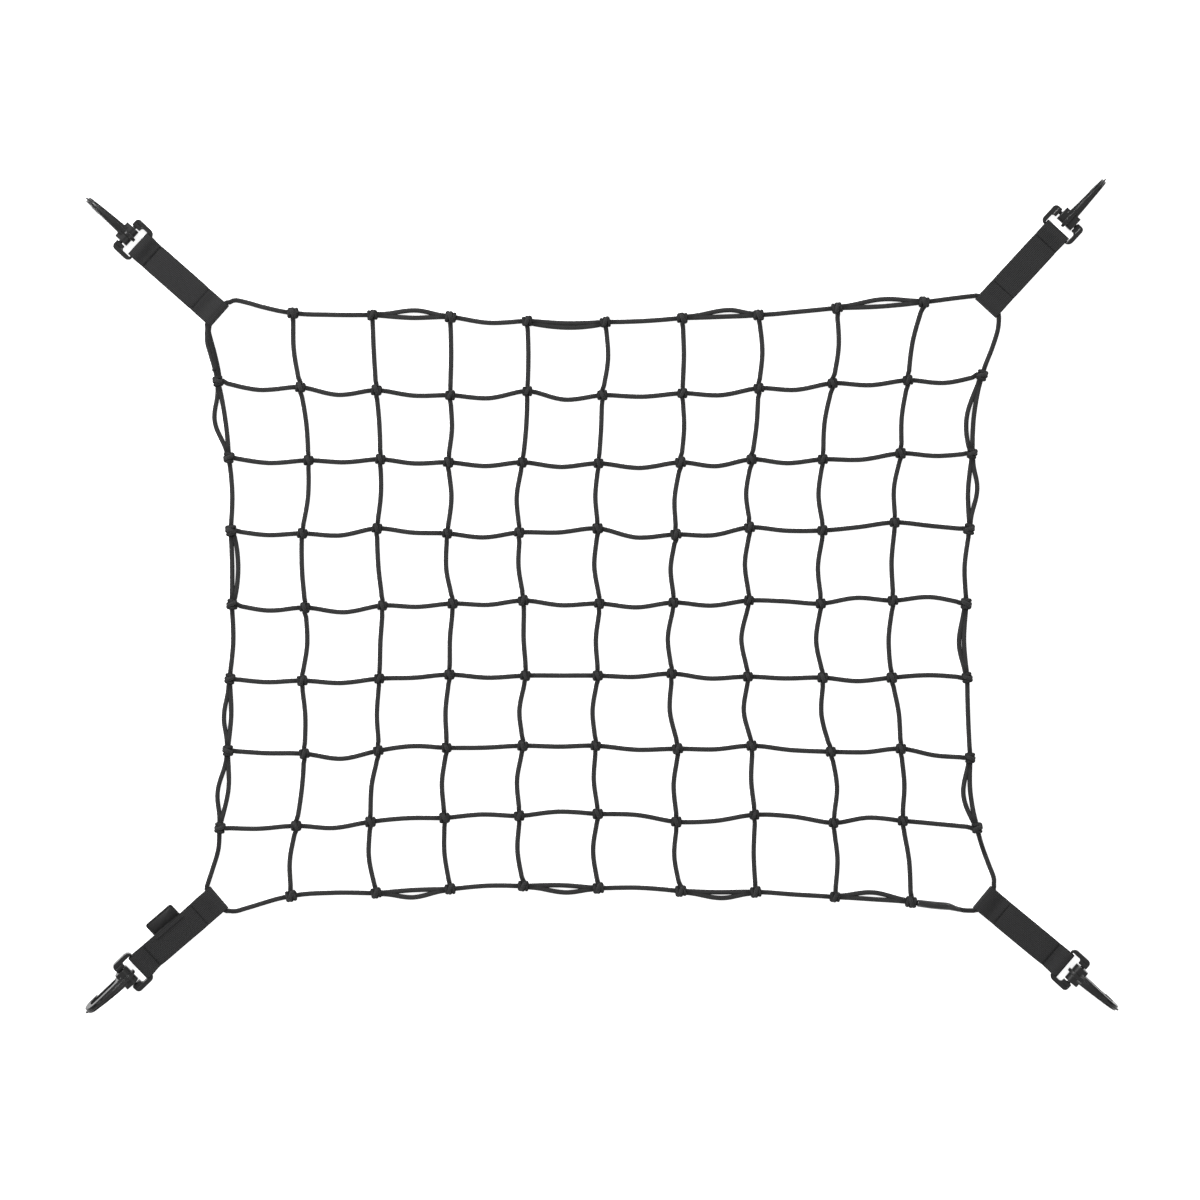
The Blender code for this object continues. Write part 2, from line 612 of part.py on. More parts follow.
def add_strap(corner):
    frame, length = strap_frame(corner)
    roll = math.radians(CORNERS[corner]["roll"])
    shape = bmesh.new()
    loops = {}
    for inset in (0.0, STRAP_THICKNESS):
        for side in (-1, 1):
            across = side * STRAP_WIDTH / 2
            loops[inset, side] = [
                shape.verts.new(twisted(along, across, height, length, roll))
                for along, height in strap_profile(length, inset)
            ]
    count = len(loops[0.0, -1])
    for index in range(count):
        following = (index + 1) % count
        for inset in (0.0, STRAP_THICKNESS):
            left, right = loops[inset, -1], loops[inset, 1]
            shape.faces.new((left[index], left[following], right[following], right[index]))
        for side in (-1, 1):
            out, into = loops[0.0, side], loops[STRAP_THICKNESS, side]
            shape.faces.new((out[index], out[following], into[following], into[index]))
    add_object(f"strap_{corner}", shape, "webbing", frame)


def add_label_tab():
    """The tab stands out of the upper edge of the lower left strap, where its right side is."""
    roll = math.radians(CORNERS["bl"]["roll"])
    rolled = Matrix.Translation((0.0, 0.0, edge_lift(roll))) @ Matrix.Rotation(roll, 4, "X")
    edge = -(STRAP_WIDTH / 2 + GAP)
    near = TAB_FROM_END + TAB_CORNER
    far = TAB_FROM_END + TAB_LENGTH - TAB_CORNER
    corner_y = edge - TAB_WIDTH + TAB_CORNER
    outline = [(TAB_FROM_END, edge)]
    outline += arc((near, corner_y), TAB_CORNER, 180, 270, TAB_CORNER_STEPS)
    outline += arc((far, corner_y), TAB_CORNER, 270, 360, TAB_CORNER_STEPS)
    outline.append((TAB_FROM_END + TAB_LENGTH, edge))
    shape = prism(outline, TAB_HEIGHT, TAB_HEIGHT + TAB_THICKNESS)
    add_object("label_tab", shape, "label", strap_frame("bl")[0] @ rolled)


# Hook bases, hooks and gates


def prism(outline, low, high):
    """A plan outline, as X and Y, extruded from one height to another."""
    shape = bmesh.new()
    bottom = [shape.verts.new((x, y, low)) for x, y in outline]
    top = [shape.verts.new((x, y, high)) for x, y in outline]
    shape.faces.new(bottom)
    shape.faces.new(top)
    for index in range(len(outline)):
        following = (index + 1) % len(outline)
        shape.faces.new((bottom[index], bottom[following], top[following], top[index]))
    return shape


def side_plate(outline, half_width):
    """A side outline, as X and Z, extruded to both sides by half_width(x)."""
    shape = bmesh.new()
    sides = []
    for side in (-1, 1):
        sides.append([shape.verts.new((x, side * half_width(x), z)) for x, z in outline])
        shape.faces.new(sides[-1])
    for index in range(len(outline)):
        following = (index + 1) % len(outline)
        left, right = sides
        shape.faces.new((left[index], left[following], right[following], right[index]))
    return shape


def cross_cylinder(radius, width):
    """A cylinder along Y."""
    angles = [2 * math.pi * (index + 0.5) / ROUND_SIDES for index in range(ROUND_SIDES)]
    outline = [(radius * math.cos(angle), radius * math.sin(angle)) for angle in angles]
    return side_plate(outline, lambda _: width / 2)


def arc(centre, radius, start, end, steps):
    """Points on an arc, from one angle in degrees to another."""
    points = []
    for step in range(steps + 1):
        angle = math.radians(start + (end - start) * step / steps)
        points.append((centre[0] + radius * math.cos(angle), centre[1] + radius * math.sin(angle)))
    return points


def hook_placing(corner):
    """Where the hook and its base lie: the strap's frame, the bar's place in it, and the tilts
    of the base and of the hook about the bar."""
    frame, length = strap_frame(corner)
    roll = math.radians(CORNERS[corner]["roll"])
    slide = CORNERS[corner]["slide"]
    low_side = -math.copysign(1.0, roll)  # the side of the hook that leans down
    knuckle_drop = -(low_side * KNUCKLE_WIDTH / 2 + slide) * math.sin(roll)
    nose_drop = -(low_side * hook_half_width(NOSE_REST_X) + slide) * math.sin(roll)
    bar_height = KNUCKLE_RADIUS * math.cos(roll) + knuckle_drop
    nose_depth = (bar_height - nose_drop) / math.cos(roll)
    nose_swing = math.hypot(NOSE_BOTTOM, NOSE_REST_X)
    hook_tilt = math.acos(nose_depth / nose_swing) - math.atan2(NOSE_REST_X, -NOSE_BOTTOM)
    eye_height = EYE_TOP / 2 * math.cos(roll) + edge_lift(roll)
    rear_reach = (-BASE_REAR - REAR_BAR_LENGTH / 2) * math.cos(roll)
    base_tilt = math.asin((bar_height - eye_height) / rear_reach)
    bar_y = -EYE_TOP / 2 * math.sin(roll)
    bar_place = Vector((length + STRAP_END_TO_BAR, bar_y, bar_height))
    bar = frame @ Matrix.Translation(bar_place) @ Matrix.Rotation(roll, 4, "X")
    base = bar @ Matrix.Rotation(-base_tilt, 4, "Y")
    hook = bar @ Matrix.Translation((0.0, slide, 0.0)) @ Matrix.Rotation(-hook_tilt, 4, "Y")
    return base, hook


def add_hook_base(corner, placing):
    """Two arms joined by the rear bar, which the webbing holds, and the front bar."""
    outer = BASE_WIDTH / 2
    window = BASE_WINDOW / 2
    throat = BASE_THROAT / 2
    rear_centre = (BASE_REAR + REAR_CORNER, outer - REAR_CORNER)
    front_centre = (BASE_FRONT - FRONT_CORNER, outer - FRONT_CORNER)
    window_angle = math.degrees(math.asin((window - rear_centre[1]) / REAR_CORNER))
    arm = arc(front_centre, FRONT_CORNER, 0, 90, FRONT_CORNER_STEPS)
    arm += arc(rear_centre, REAR_CORNER, 90, 180 - window_angle, REAR_CORNER_STEPS)
    arm += [(BASE_BOSS_REAR - BOSS_CHAMFER, window), (BASE_BOSS_REAR, window - BOSS_CHAMFER),
            (BASE_BOSS_REAR, throat), (BASE_FRONT, throat)]
    half = BASE_HEIGHT / 2
    base = add_object(f"hook_base_{corner}", prism(arm, -half, half), "hook_plastic", placing)
    mirrored = [(x, -y) for x, y in arm]
    other_arm = add_helper(f"base_arm_{corner}", prism(mirrored, -half, half), placing)
    bar_end = window + BAR_OVERLAP
    bar_front = BASE_REAR + REAR_BAR_LENGTH
    back = [(BASE_REAR + forward, window - inset) for forward, inset in BAR_BACK]
    bar = [(bar_front, -bar_end), (bar_front, bar_end), *back[::-1]]
    bar += [(x, -y) for x, y in back]
    half = REAR_BAR_HEIGHT / 2
    rear_bar = add_helper(f"base_rear_bar_{corner}", prism(bar, -half, half), placing)
    front = cross_cylinder(FRONT_BAR_RADIUS, BASE_THROAT + 4 * BAR_OVERLAP)
    front_bar = add_helper(f"base_front_bar_{corner}", front, placing)
    for helper in (other_arm, rear_bar, front_bar):
        boolean(base, helper, "UNION")


def hook_half_width(x):
    share = min(max((x - ROOT_X) / (TIP_X - ROOT_X), 0.0), 1.0)
    return (ROOT_WIDTH + (TIP_WIDTH - ROOT_WIDTH) * share) / 2


def metres(outline):
    return [(x * MM, z * MM) for x, z in outline]


def hook_outline():
    seat = arc(GATE_PIVOT, GATE_BARREL_RADIUS + GAP, *SEAT_ANGLES, SEAT_STEPS)
    front = metres(HOOK_ROOT + HOOK_SPINE + HOOK_TIP + HOOK_INNER)
    return front + seat + metres(HOOK_UNDERSIDE)


def add_hook(corner, placing):
    body = side_plate(hook_outline(), hook_half_width)
    hook = add_object(f"hook_{corner}", body, "hook_plastic", placing)
    knuckle_outline = arc((0.0, 0.0), KNUCKLE_RADIUS, *KNUCKLE_ANGLES, KNUCKLE_STEPS)
    knuckle_outline += metres(KNUCKLE_FRONT)
    knuckle_shape = side_plate(knuckle_outline, lambda _: KNUCKLE_WIDTH / 2)
    knuckle = add_helper(f"knuckle_{corner}", knuckle_shape, placing)
    rib = add_helper(f"rib_{corner}", side_plate(rib_outline(), rib_half_width), placing)
    bore_shape = cross_cylinder(FRONT_BAR_RADIUS + GAP, KNUCKLE_WIDTH + 2 * BORE_OVERHANG)
    bore = add_helper(f"bore_{corner}", bore_shape, placing)
    for helper in (knuckle, rib):
        boolean(hook, helper, "UNION")
    boolean(hook, bore, "DIFFERENCE")


def rib_half_width(x):
    share = min(max((x - RIDGE_NARROWS_X) / (TIP_X - RIDGE_NARROWS_X), 0.0), 1.0)
    return (RIB_WIDTH + (NUB_WIDTH - RIB_WIDTH) * share) / 2


def rib_outline():
    """The rib over the back and top of the knuckle and the ridge along the spine to the nub."""
    spine = [(x, z + RIDGE_HEIGHT) for x, z in metres(HOOK_SPINE[:-1])]
    under = [(x - RIDGE_BACK, z - RIDGE_HEIGHT) for x, z in metres(HOOK_SPINE[:-1])]
    start, end = RIB_ANGLES
    knuckle_back = arc((0.0, 0.0), RIB_RADIUS, start, end, RIB_STEPS)
    inner_back = arc((0.0, 0.0), KNUCKLE_RADIUS - RIB_DEPTH, end, start, RIB_INNER_STEPS)
    return knuckle_back + spine + metres(NUB) + under[::-1] + inner_back


def add_gate(corner, hook_matrix):
    """The tongue that closes the hook's mouth, with its origin on its pivot."""
    reach = GATE_TIP[0] - GATE_PIVOT[0]
    rise = GATE_TIP[1] - GATE_PIVOT[1]
    root = GATE_ROOT_THICKNESS / 2
    tip = GATE_TIP_THICKNESS / 2
    end = arc((reach - tip, rise), tip, -90, 90, GATE_TIP_STEPS)
    tongue = [(0.0, -root), *end, (0.0, root)]

    def half_width(x):
        share = min(max(x / reach, 0.0), 1.0)
        return (GATE_ROOT_WIDTH + (GATE_TIP_WIDTH - GATE_ROOT_WIDTH) * share) / 2

    placing = hook_matrix @ Matrix.Translation((GATE_PIVOT[0], 0.0, GATE_PIVOT[1]))
    gate = add_object(f"hook_gate_{corner}", side_plate(tongue, half_width), "hook_plastic", placing)
    barrel_shape = cross_cylinder(GATE_BARREL_RADIUS, GATE_ROOT_WIDTH)
    barrel = add_helper(f"gate_barrel_{corner}", barrel_shape, placing)
    boolean(gate, barrel, "UNION")


def main():
    clear_scene()
    for row in ROW_NAMES:
        add_row(row)
    for column in range(COLUMN_COUNT):
        add_column(column)
    add_edge_cord()
    add_links()
    add_splice_sleeve()
    for corner in CORNERS:
        add_strap(corner)
        base, hook = hook_placing(corner)
        add_hook_base(corner, base)
        add_hook(corner, hook)
        add_gate(corner, hook)
    add_label_tab()


main()
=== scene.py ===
import math
import random

import bmesh
import bpy
from mathutils import Matrix, Vector


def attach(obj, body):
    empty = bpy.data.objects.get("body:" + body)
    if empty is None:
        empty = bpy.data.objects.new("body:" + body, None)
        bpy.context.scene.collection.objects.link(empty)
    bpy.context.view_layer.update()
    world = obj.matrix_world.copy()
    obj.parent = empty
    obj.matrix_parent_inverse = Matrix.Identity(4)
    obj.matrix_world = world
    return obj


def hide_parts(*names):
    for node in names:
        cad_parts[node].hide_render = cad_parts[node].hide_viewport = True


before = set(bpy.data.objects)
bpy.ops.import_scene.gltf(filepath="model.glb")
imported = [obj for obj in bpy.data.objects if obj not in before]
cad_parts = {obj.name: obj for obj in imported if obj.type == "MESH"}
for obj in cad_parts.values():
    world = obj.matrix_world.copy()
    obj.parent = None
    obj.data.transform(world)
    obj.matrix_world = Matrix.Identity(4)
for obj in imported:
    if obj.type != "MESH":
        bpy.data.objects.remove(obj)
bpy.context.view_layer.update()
random.seed(7)

MM = 0.001
PIXEL = 0.9 * MM
ORIGIN_PIXEL = (601.31, 595.47)

# ---------------------------------------------------------------- camera

PICTURE_MIDDLE = 599.5
CAMERA_HEIGHT = 3.0
FIELD = 1.08  # metres of floor across the picture

lens = bpy.data.cameras.new("camera")
lens.angle = 2 * math.atan(FIELD / 2 / CAMERA_HEIGHT)


def linked(name, data):
    """A new object in the scene's collection."""
    obj = bpy.data.objects.new(name, data)
    bpy.context.scene.collection.objects.link(obj)
    return obj


camera = linked("camera", lens)
camera.location = ((PICTURE_MIDDLE - ORIGIN_PIXEL[0]) * PIXEL,
                   (ORIGIN_PIXEL[1] - PICTURE_MIDDLE) * PIXEL, CAMERA_HEIGHT)
bpy.context.scene.camera = camera

# ---------------------------------------------------------------- places, as in the part

CORD_RADIUS = 2.0 * MM
CORD_SHOWN = 2.2 * MM  # its radius with the fuzz of the braid
CORD_LOW = 2.2 * MM  # height of a cord's centre on the floor
KNOT_HEIGHT = 4.2 * MM  # height of the centre of a knot
CORD_IN_STRAP = 3.6 * MM

KNOT_ROWS = {
    "top": [(293, 313), (372, 315), (450, 317), (527, 321), (605, 322),
            (682, 318), (758, 315), (836, 308), (923, 302)],
    "row_1": [(218, 381), (300, 387), (376, 390), (450, 395), (527, 391), (602, 395),
              (682, 393), (758, 388), (832, 383), (907, 380), (981, 375)],
    "row_2": [(229, 457), (308, 460), (380, 459), (448, 462), (522, 462), (598, 463),
              (680, 462), (751, 459), (822, 459), (900, 453), (971, 453)],
    "row_3": [(231, 530), (302, 533), (377, 528), (447, 533), (519, 532), (597, 528),
              (675, 534), (749, 527), (822, 530), (894, 522), (968, 529)],
    "row_4": [(232, 604), (305, 607), (382, 605), (452, 603), (523, 600), (599, 603),
              (673, 602), (748, 600), (820, 603), (892, 600), (965, 603)],
    "row_5": [(230, 678), (302, 680), (379, 678), (449, 674), (525, 675), (597, 675),
              (671, 673), (747, 676), (822, 677), (891, 677), (966, 677)],
    "row_6": [(228, 750), (304, 753), (378, 750), (446, 747), (522, 745), (595, 745),
              (677, 748), (751, 745), (830, 751), (900, 748), (969, 757)],
    "row_7": [(220, 827), (296, 825), (370, 821), (444, 817), (519, 815), (597, 813),
              (676, 821), (754, 814), (833, 822), (902, 820), (976, 827)],
    "bottom": [(291, 895), (376, 892), (450, 888), (523, 885), (598, 887),
               (680, 890), (755, 891), (834, 896), (910, 901)],
}
ROW_NAMES = ["row_1", "row_2", "row_3", "row_4", "row_5", "row_6", "row_7"]
COLUMN_COUNT = 9
ROW_BOWS = {
    "row_1": [5.5, 6.0, 2.7, 4.8, 6.3, 2.3, 4.3, 4.0, 3.3, 5.0],
    "row_2": [4.0, 2.3, 2.5, 3.6, 4.0, 5.0, 5.2, 3.7, 3.2, 2.5],
    "row_3": [3.0, 4.5, 1.6, 4.4, 2.0, 6.0, 4.3, 1.7, 0.6, 0.0],
    "row_4": [4.5, 5.7, 2.3, 2.8, 3.2, 4.3, 4.1, -0.7, -4.2, -5.0],
    "row_5": [2.5, 3.4, 1.1, 2.6, 0.0, 2.3, 3.4, 1.3, 3.5, -2.4],
    "row_6": [1.0, 6.6, -3.0, 1.0, 1.0, 2.6, 2.2, 1.4, 2.0, 2.3],
    "row_7": [2.0, 4.3, -1.5, -2.2, -3.0, -2.7, 2.7, -2.0, -4.0, 0.0],
}
COLUMN_BOWS = [
    [-3.0, 2.0, 2.7, -1.8, 3.4, 2.0, 1.4, -4.0],
    [-0.5, 1.0, 2.0, -1.5, -0.5, -2.0, -2.8, -4.5],
    [0.7, 2.5, 3.5, -3.7, -1.0, -2.4, -3.5, -3.0],
    [0.9, 1.2, -4.3, -3.0, -0.9, -4.6, -4.0, -4.0],
    [4.0, 0.5, -2.7, -4.3, -2.7, -4.0, -2.8, -5.0],
    [1.3, 2.5, -3.5, -4.0, -4.8, -4.8, -3.5, -4.3],
    [3.7, 1.5, -4.5, -4.3, -6.8, -5.9, -2.0, -1.5],
    [4.0, -3.0, -4.2, -3.8, -5.6, -5.3, 4.8, 3.3],
    [-3.0, -2.5, -3.8, -2.2, -3.6, 2.5, 2.6, 2.4],
]
EDGE_BOWS = {
    "top": [0.5, 1.5, 3.5, 1.5, 0.7, 0.0, 0.0, 1.2],
    "bottom": [-1.5, -0.7, -1.5, -1.5, -1.5, 1.0, 0.3, 0.0],
    "left": [1.5, 2.0, 0.4, 2.0, 2.0, 4.2],
    "right": [-2.7, -2.3, -2.7, -2.3, -0.2, -2.9],
}
# Second strands: their span, the side of the edge cord that they lie on, the shares of the span
# between which they stand off it, and how many pixels wide that gap is.
LINKS = {
    "top": [(1, -1, 0.35, 0.75, 3.2), (3, 1, 0.40, 0.70, 0.0), (5, -1, 0.45, 0.75, 2.2),
            (7, -1, 0.30, 0.75, 2.8)],
    "bottom": [(1, 1, 0.35, 0.65, 3.0), (3, 1, 0.35, 0.75, 2.8), (5, 1, 0.45, 0.65, 1.5),
               (7, -1, 0.30, 0.70, 2.5)],
    "left": [(0, -1, 0.25, 0.80, 6.5), (2, 1, 0.20, 0.75, 1.8), (4, -1, 0.35, 0.70, 3.0),
             (5, -1, 0.25, 0.80, 6.2)],
    "right": [(0, -1, 0.30, 0.85, 2.8), (1, 1, 0.25, 0.70, 4.8), (3, -1, 0.50, 0.60, 0.8),
              (5, -1, 0.30, 0.80, 3.0)],
}
LINK_SHARES = (0.0, 0.04, 0.09, 0.15, 0.24, 0.33, 0.42, 0.5,
               0.58, 0.67, 0.76, 0.85, 0.91, 0.96, 1.0)
# How far the middle of a second strand is from the edge cord's: in a knot, where their gap starts
# to show, and at the middle of a gap of no width.
ARC_START = 1.2 * MM
ARC_SHOWS = 4.3 * MM
ARC_TOUCHING = 3.86 * MM
ARC_POWERS = 0.7, 2.3  # the roundest and the most pointed arc
CORNERS = {
    "tl": {"inner": (219.8, 316.3), "outer": (137.5, 243.7), "roll": 4.5, "slide": 0.1 * MM},
    "tr": {"inner": (984.4, 308.4), "outer": (1057.5, 229.0), "roll": 1.0, "slide": -0.4 * MM},
    "bl": {"inner": (219.4, 896.1), "outer": (137.5, 966.2), "roll": -17.0, "slide": -1.0 * MM},
    "br": {"inner": (980.6, 895.7), "outer": (1064.5, 964.8), "roll": 7.0, "slide": 0.3 * MM},
}
CORNER_CORD = {
    "bl": {
        "first": [(235.2, 910.4, 3.2 * MM), (246.5, 907.3, 2.4 * MM)],
        "second": [(212.6, 867.8, 2.4 * MM), (218.2, 849.0, 3.6 * MM)],
    },
    "tl": {
        "first": [(207.0, 341.0, 2.4 * MM), (211.0, 356.0, 2.5 * MM)],
        "second": [(234.0, 300.1, 3.4 * MM), (247.0, 302.4, 2.7 * MM), (262.0, 306.6, 2.2 * MM)],
    },
    "tr": {
        "first": [(967.2, 296.4, 3.4 * MM), (950.7, 298.3, 2.6 * MM)],
        "second": [(997.1, 328.2, 3.2 * MM), (992.0, 345.8, 2.4 * MM)],
    },
    "br": {
        "first": [(993.0, 878.1, 3.2 * MM), (987.6, 863.0, 2.2 * MM), (981.1, 845.7, 4.0 * MM)],
        "second": [(962.0, 909.3, 3.6 * MM)],
    },
}
CORNER_LINK = [(219.8, 379.0, 4.6 * MM), (217.6, 366.0, 5.0 * MM), (214.3, 352.0, 5.0 * MM),
               (211.0, 340.0, 4.9 * MM), (208.8, 331.0, 4.6 * MM), (209.6, 324.5, 4.0 * MM)]
WHIPPING_AT = (215.6, 369.4, 3.4 * MM)  # the thread round both strands above the knot
WHIPPING_TURNS = 3
WHIPPING_ACROSS, WHIPPING_UP, WHIPPING_LENGTH = 3.1 * MM, 3.0 * MM, 1.5 * MM
WHIPPING_THREAD = 0.3 * MM
SLEEVE_STEP = 1.6 * MM
SLEEVE_SIDES = 24
SLEEVE_RIM = 0.86  # its open end is rounded off to this share of the radius
# The sleeve's sections: place in the photo, height and radius in mm.
SLEEVE_SECTIONS = [
    ((916.0, 901.9), 5.4, 3.1), ((918.0, 902.2), 5.4, 3.3), ((930.0, 903.8), 4.9, 3.5),
    ((940.0, 904.8), 4.4, 3.55), ((946.5, 905.4), 4.1, 3.45), ((950.0, 906.2), 3.9, 3.0),
    ((953.5, 907.3), 3.8, 2.6), ((957.0, 908.2), 3.7, 2.35), ((959.5, 908.7), 3.6, 2.28),
]

GAP = 0.3 * MM
STRAP_WIDTH = 25.4 * MM
STRAP_THICKNESS = 1.3 * MM
STRAP_LAYERS_TOP = 2 * STRAP_THICKNESS + GAP
EYE_TOP = 2 * STRAP_THICKNESS + 2 * CORD_RADIUS + 2 * GAP
INNER_EYE_LENGTH = 6.8 * MM  # from the fold to where the top layer starts to come down
OUTER_EYE_LENGTH = 6.4 * MM
EYE_SAG = 0.15 * MM  # how much lower the top layer is there
INNER_SLOPE_END = 16.0 * MM
OUTER_SLOPE_END = 13.5 * MM
FOLD_CORNER = 2.6 * MM  # the flat part of each layer starts this far from a fold
FOLD_CORNER_SHARE = 0.3  # and this share of the inset further on an inset outline
# Points of a fold below its middle: distance from the strap's end, height, and how far an inset
# outline's point moves along and up for each unit of inset.
FOLD_POINTS = [
    (FOLD_CORNER / 3, 0.7 * MM, 0.72, 0.8),
    (0.0, 2.4 * MM, 1.0, 0.25),
]
STRAP_STATIONS = (0.22, 0.29, 0.36, 0.70)  # shares of the strap's length
TWIST_START = 0.14  # the strap twists towards the hook between these shares of its length
TWIST_END = 0.36
CORD_FROM_END = 4.0 * MM  # the edge cord's centre, from the strap's inner end
CORD_BESIDE_STRAP = 0.3 * MM  # the edge cord leaves the eye this far outside the strap's edge
CORD_TURN = (2.2 * MM, 1.8 * MM)  # where it turns: from the strap's end, and from its edge

TAB_LENGTH = 30.2 * MM
TAB_WIDTH = 12.5 * MM
TAB_THICKNESS = 1.2 * MM
TAB_CORNER = 2.5 * MM
TAB_FROM_END = 35.9 * MM  # its nearer end, from the strap's inner end
TAB_HEIGHT = 0.9 * MM  # its underside

BASE_WIDTH = 35.0 * MM
BASE_WINDOW = 26.6 * MM
BASE_THROAT = 19.0 * MM  # between the bosses that hold the front bar
BASE_FRONT = 3.5 * MM
BASE_BOSS_REAR = -5.6 * MM
BOSS_CHAMFER = 1.2 * MM
BASE_REAR = -17.5 * MM
BASE_HEIGHT = 5.0 * MM
FRONT_CORNER = 3.8 * MM
REAR_CORNER = 5.5 * MM
REAR_BAR_LENGTH = 2.7 * MM
REAR_BAR_HEIGHT = 3.6 * MM
BAR_OVERLAP = 0.5 * MM  # how far the bars run into the arms
# The back of the rear bar near each arm, from the window's side: distance from the bar's back
# face and from the side.
BAR_BACK = [(0.0, 2.1 * MM), (0.6 * MM, 0.4 * MM), (1.0 * MM, -BAR_OVERLAP)]
FRONT_BAR_RADIUS = 1.8 * MM
STRAP_END_TO_BAR = 11.5 * MM  # from the strap's outer end to the front bar's axis

KNUCKLE_RADIUS = 6.1 * MM
KNUCKLE_WIDTH = 16.4 * MM
KNUCKLE_ANGLES = (92.0, 350.0)  # it is round from one to the other, in degrees
KNUCKLE_FRONT = [(7.2, -0.8), (7.2, 5.8)]  # and square in front, in mm
RIB_RADIUS = 8.4 * MM
RIB_ANGLES = (185.0, 75.0)  # the rib runs over the knuckle from one to the other, in degrees
RIB_DEPTH = 1.0 * MM  # how far it reaches into the knuckle
RIB_WIDTH = 3.0 * MM
RIDGE_HEIGHT = 1.2 * MM
RIDGE_BACK = 0.6 * MM  # the ridge's lower edge, inside the blade, lies this far behind
RIDGE_NARROWS_X = 30.0 * MM
NUB_WIDTH = 1.4 * MM
NUB = [(49.0, 3.0), (49.0, 0.4), (46.4, 0.2)]  # the ridge's end at the tip, in mm
BORE_OVERHANG = 2.0 * MM
ROOT_WIDTH = 9.0 * MM
ROOT_X = 6.5 * MM
TIP_WIDTH = 5.3 * MM
TIP_X = 44.0 * MM
NOSE_BOTTOM = -9.0 * MM
NOSE_REST_X = 34.4 * MM  # where the nose lies on the floor
GATE_PIVOT = (9.8 * MM, -4.9 * MM)  # X and Z
GATE_BARREL_RADIUS = 1.8 * MM
GATE_TIP = (34.0 * MM, -4.1 * MM)
GATE_ROOT_THICKNESS = 2.4 * MM
GATE_TIP_THICKNESS = 2.2 * MM
GATE_ROOT_WIDTH = 7.6 * MM
GATE_TIP_WIDTH = 6.0 * MM

# Side outline of the hook, in mm: from the knuckle along the spine, round the tip and along the
# nose.
HOOK_ROOT = [(-2.0, 4.6), (3.0, 5.8)]
HOOK_SPINE = [
    (8.0, 7.6), (14.0, 8.8), (22.0, 9.2), (36.0, 8.9), (41.0, 7.9), (44.6, 5.6), (46.8, 2.2),
]
HOOK_TIP = [
    (47.4, -1.4), (46.5, -4.9), (44.2, -7.7), (41.0, -9.0), (34.4, -9.0), (32.6, -8.5),
    (32.0, -7.4), (32.3, -6.2), (33.3, -5.5),
]
# The eye, from the nose round the tip's inner side and back along the spine to the gate's seat.
HOOK_INNER = [
    (37.2, -5.4), (39.3, -4.6), (40.3, -3.2), (40.3, 1.4), (39.5, 3.0), (37.6, 3.9),
    (22.0, 4.1), (14.0, 3.8), (11.2, 2.6), (9.8, 0.6), (9.5, -1.6),
]
SEAT_ANGLES = (88.0, 235.0)  # the seat round the gate's barrel, in degrees
HOOK_UNDERSIDE = [(7.0, -6.4), (3.0, -5.4), (-2.0, -4.6)]


def photo_point(pixel, height=0.0):
    x = (pixel[0] - ORIGIN_PIXEL[0]) * PIXEL
    y = (ORIGIN_PIXEL[1] - pixel[1]) * PIXEL
    return Vector((x, y, height))


def smooth_step(share):
    share = min(max(share, 0.0), 1.0)
    return share * share * (3.0 - 2.0 * share)


def curve_point(controls, place):
    """The point at a place, 0 to the number of controls less 1, of a smooth curve through them."""
    last = len(controls) - 1
    index = min(int(place), last - 1)
    share = place - index
    before = controls[index - 1] if index > 0 else 2 * controls[0] - controls[1]
    after = controls[index + 2] if index + 2 <= last else 2 * controls[last] - controls[last - 1]
    points = [before, controls[index], controls[index + 1], after]
    times = [0.0]
    for first, second in zip(points, points[1:]):
        times.append(times[-1] + max(math.sqrt((second - first).length), 1e-6))
    at = times[1] + share * (times[2] - times[1])

    def between(first, second, start, end):
        return first * ((end - at) / (end - start)) + second * ((at - start) / (end - start))

    lower = [between(points[i], points[i + 1], times[i], times[i + 1]) for i in range(3)]
    upper = [between(lower[i], lower[i + 1], times[i], times[i + 2]) for i in range(2)]
    return between(upper[0], upper[1], times[1], times[2])


def smooth_points(controls, parts):
    """Points of the smooth curve through the controls, so many for each control but the last."""
    places = [step / parts for step in range((len(controls) - 1) * parts)]
    return [curve_point(controls, place) for place in places] + [controls[-1].copy()]


# ---------------------------------------------------------------- materials


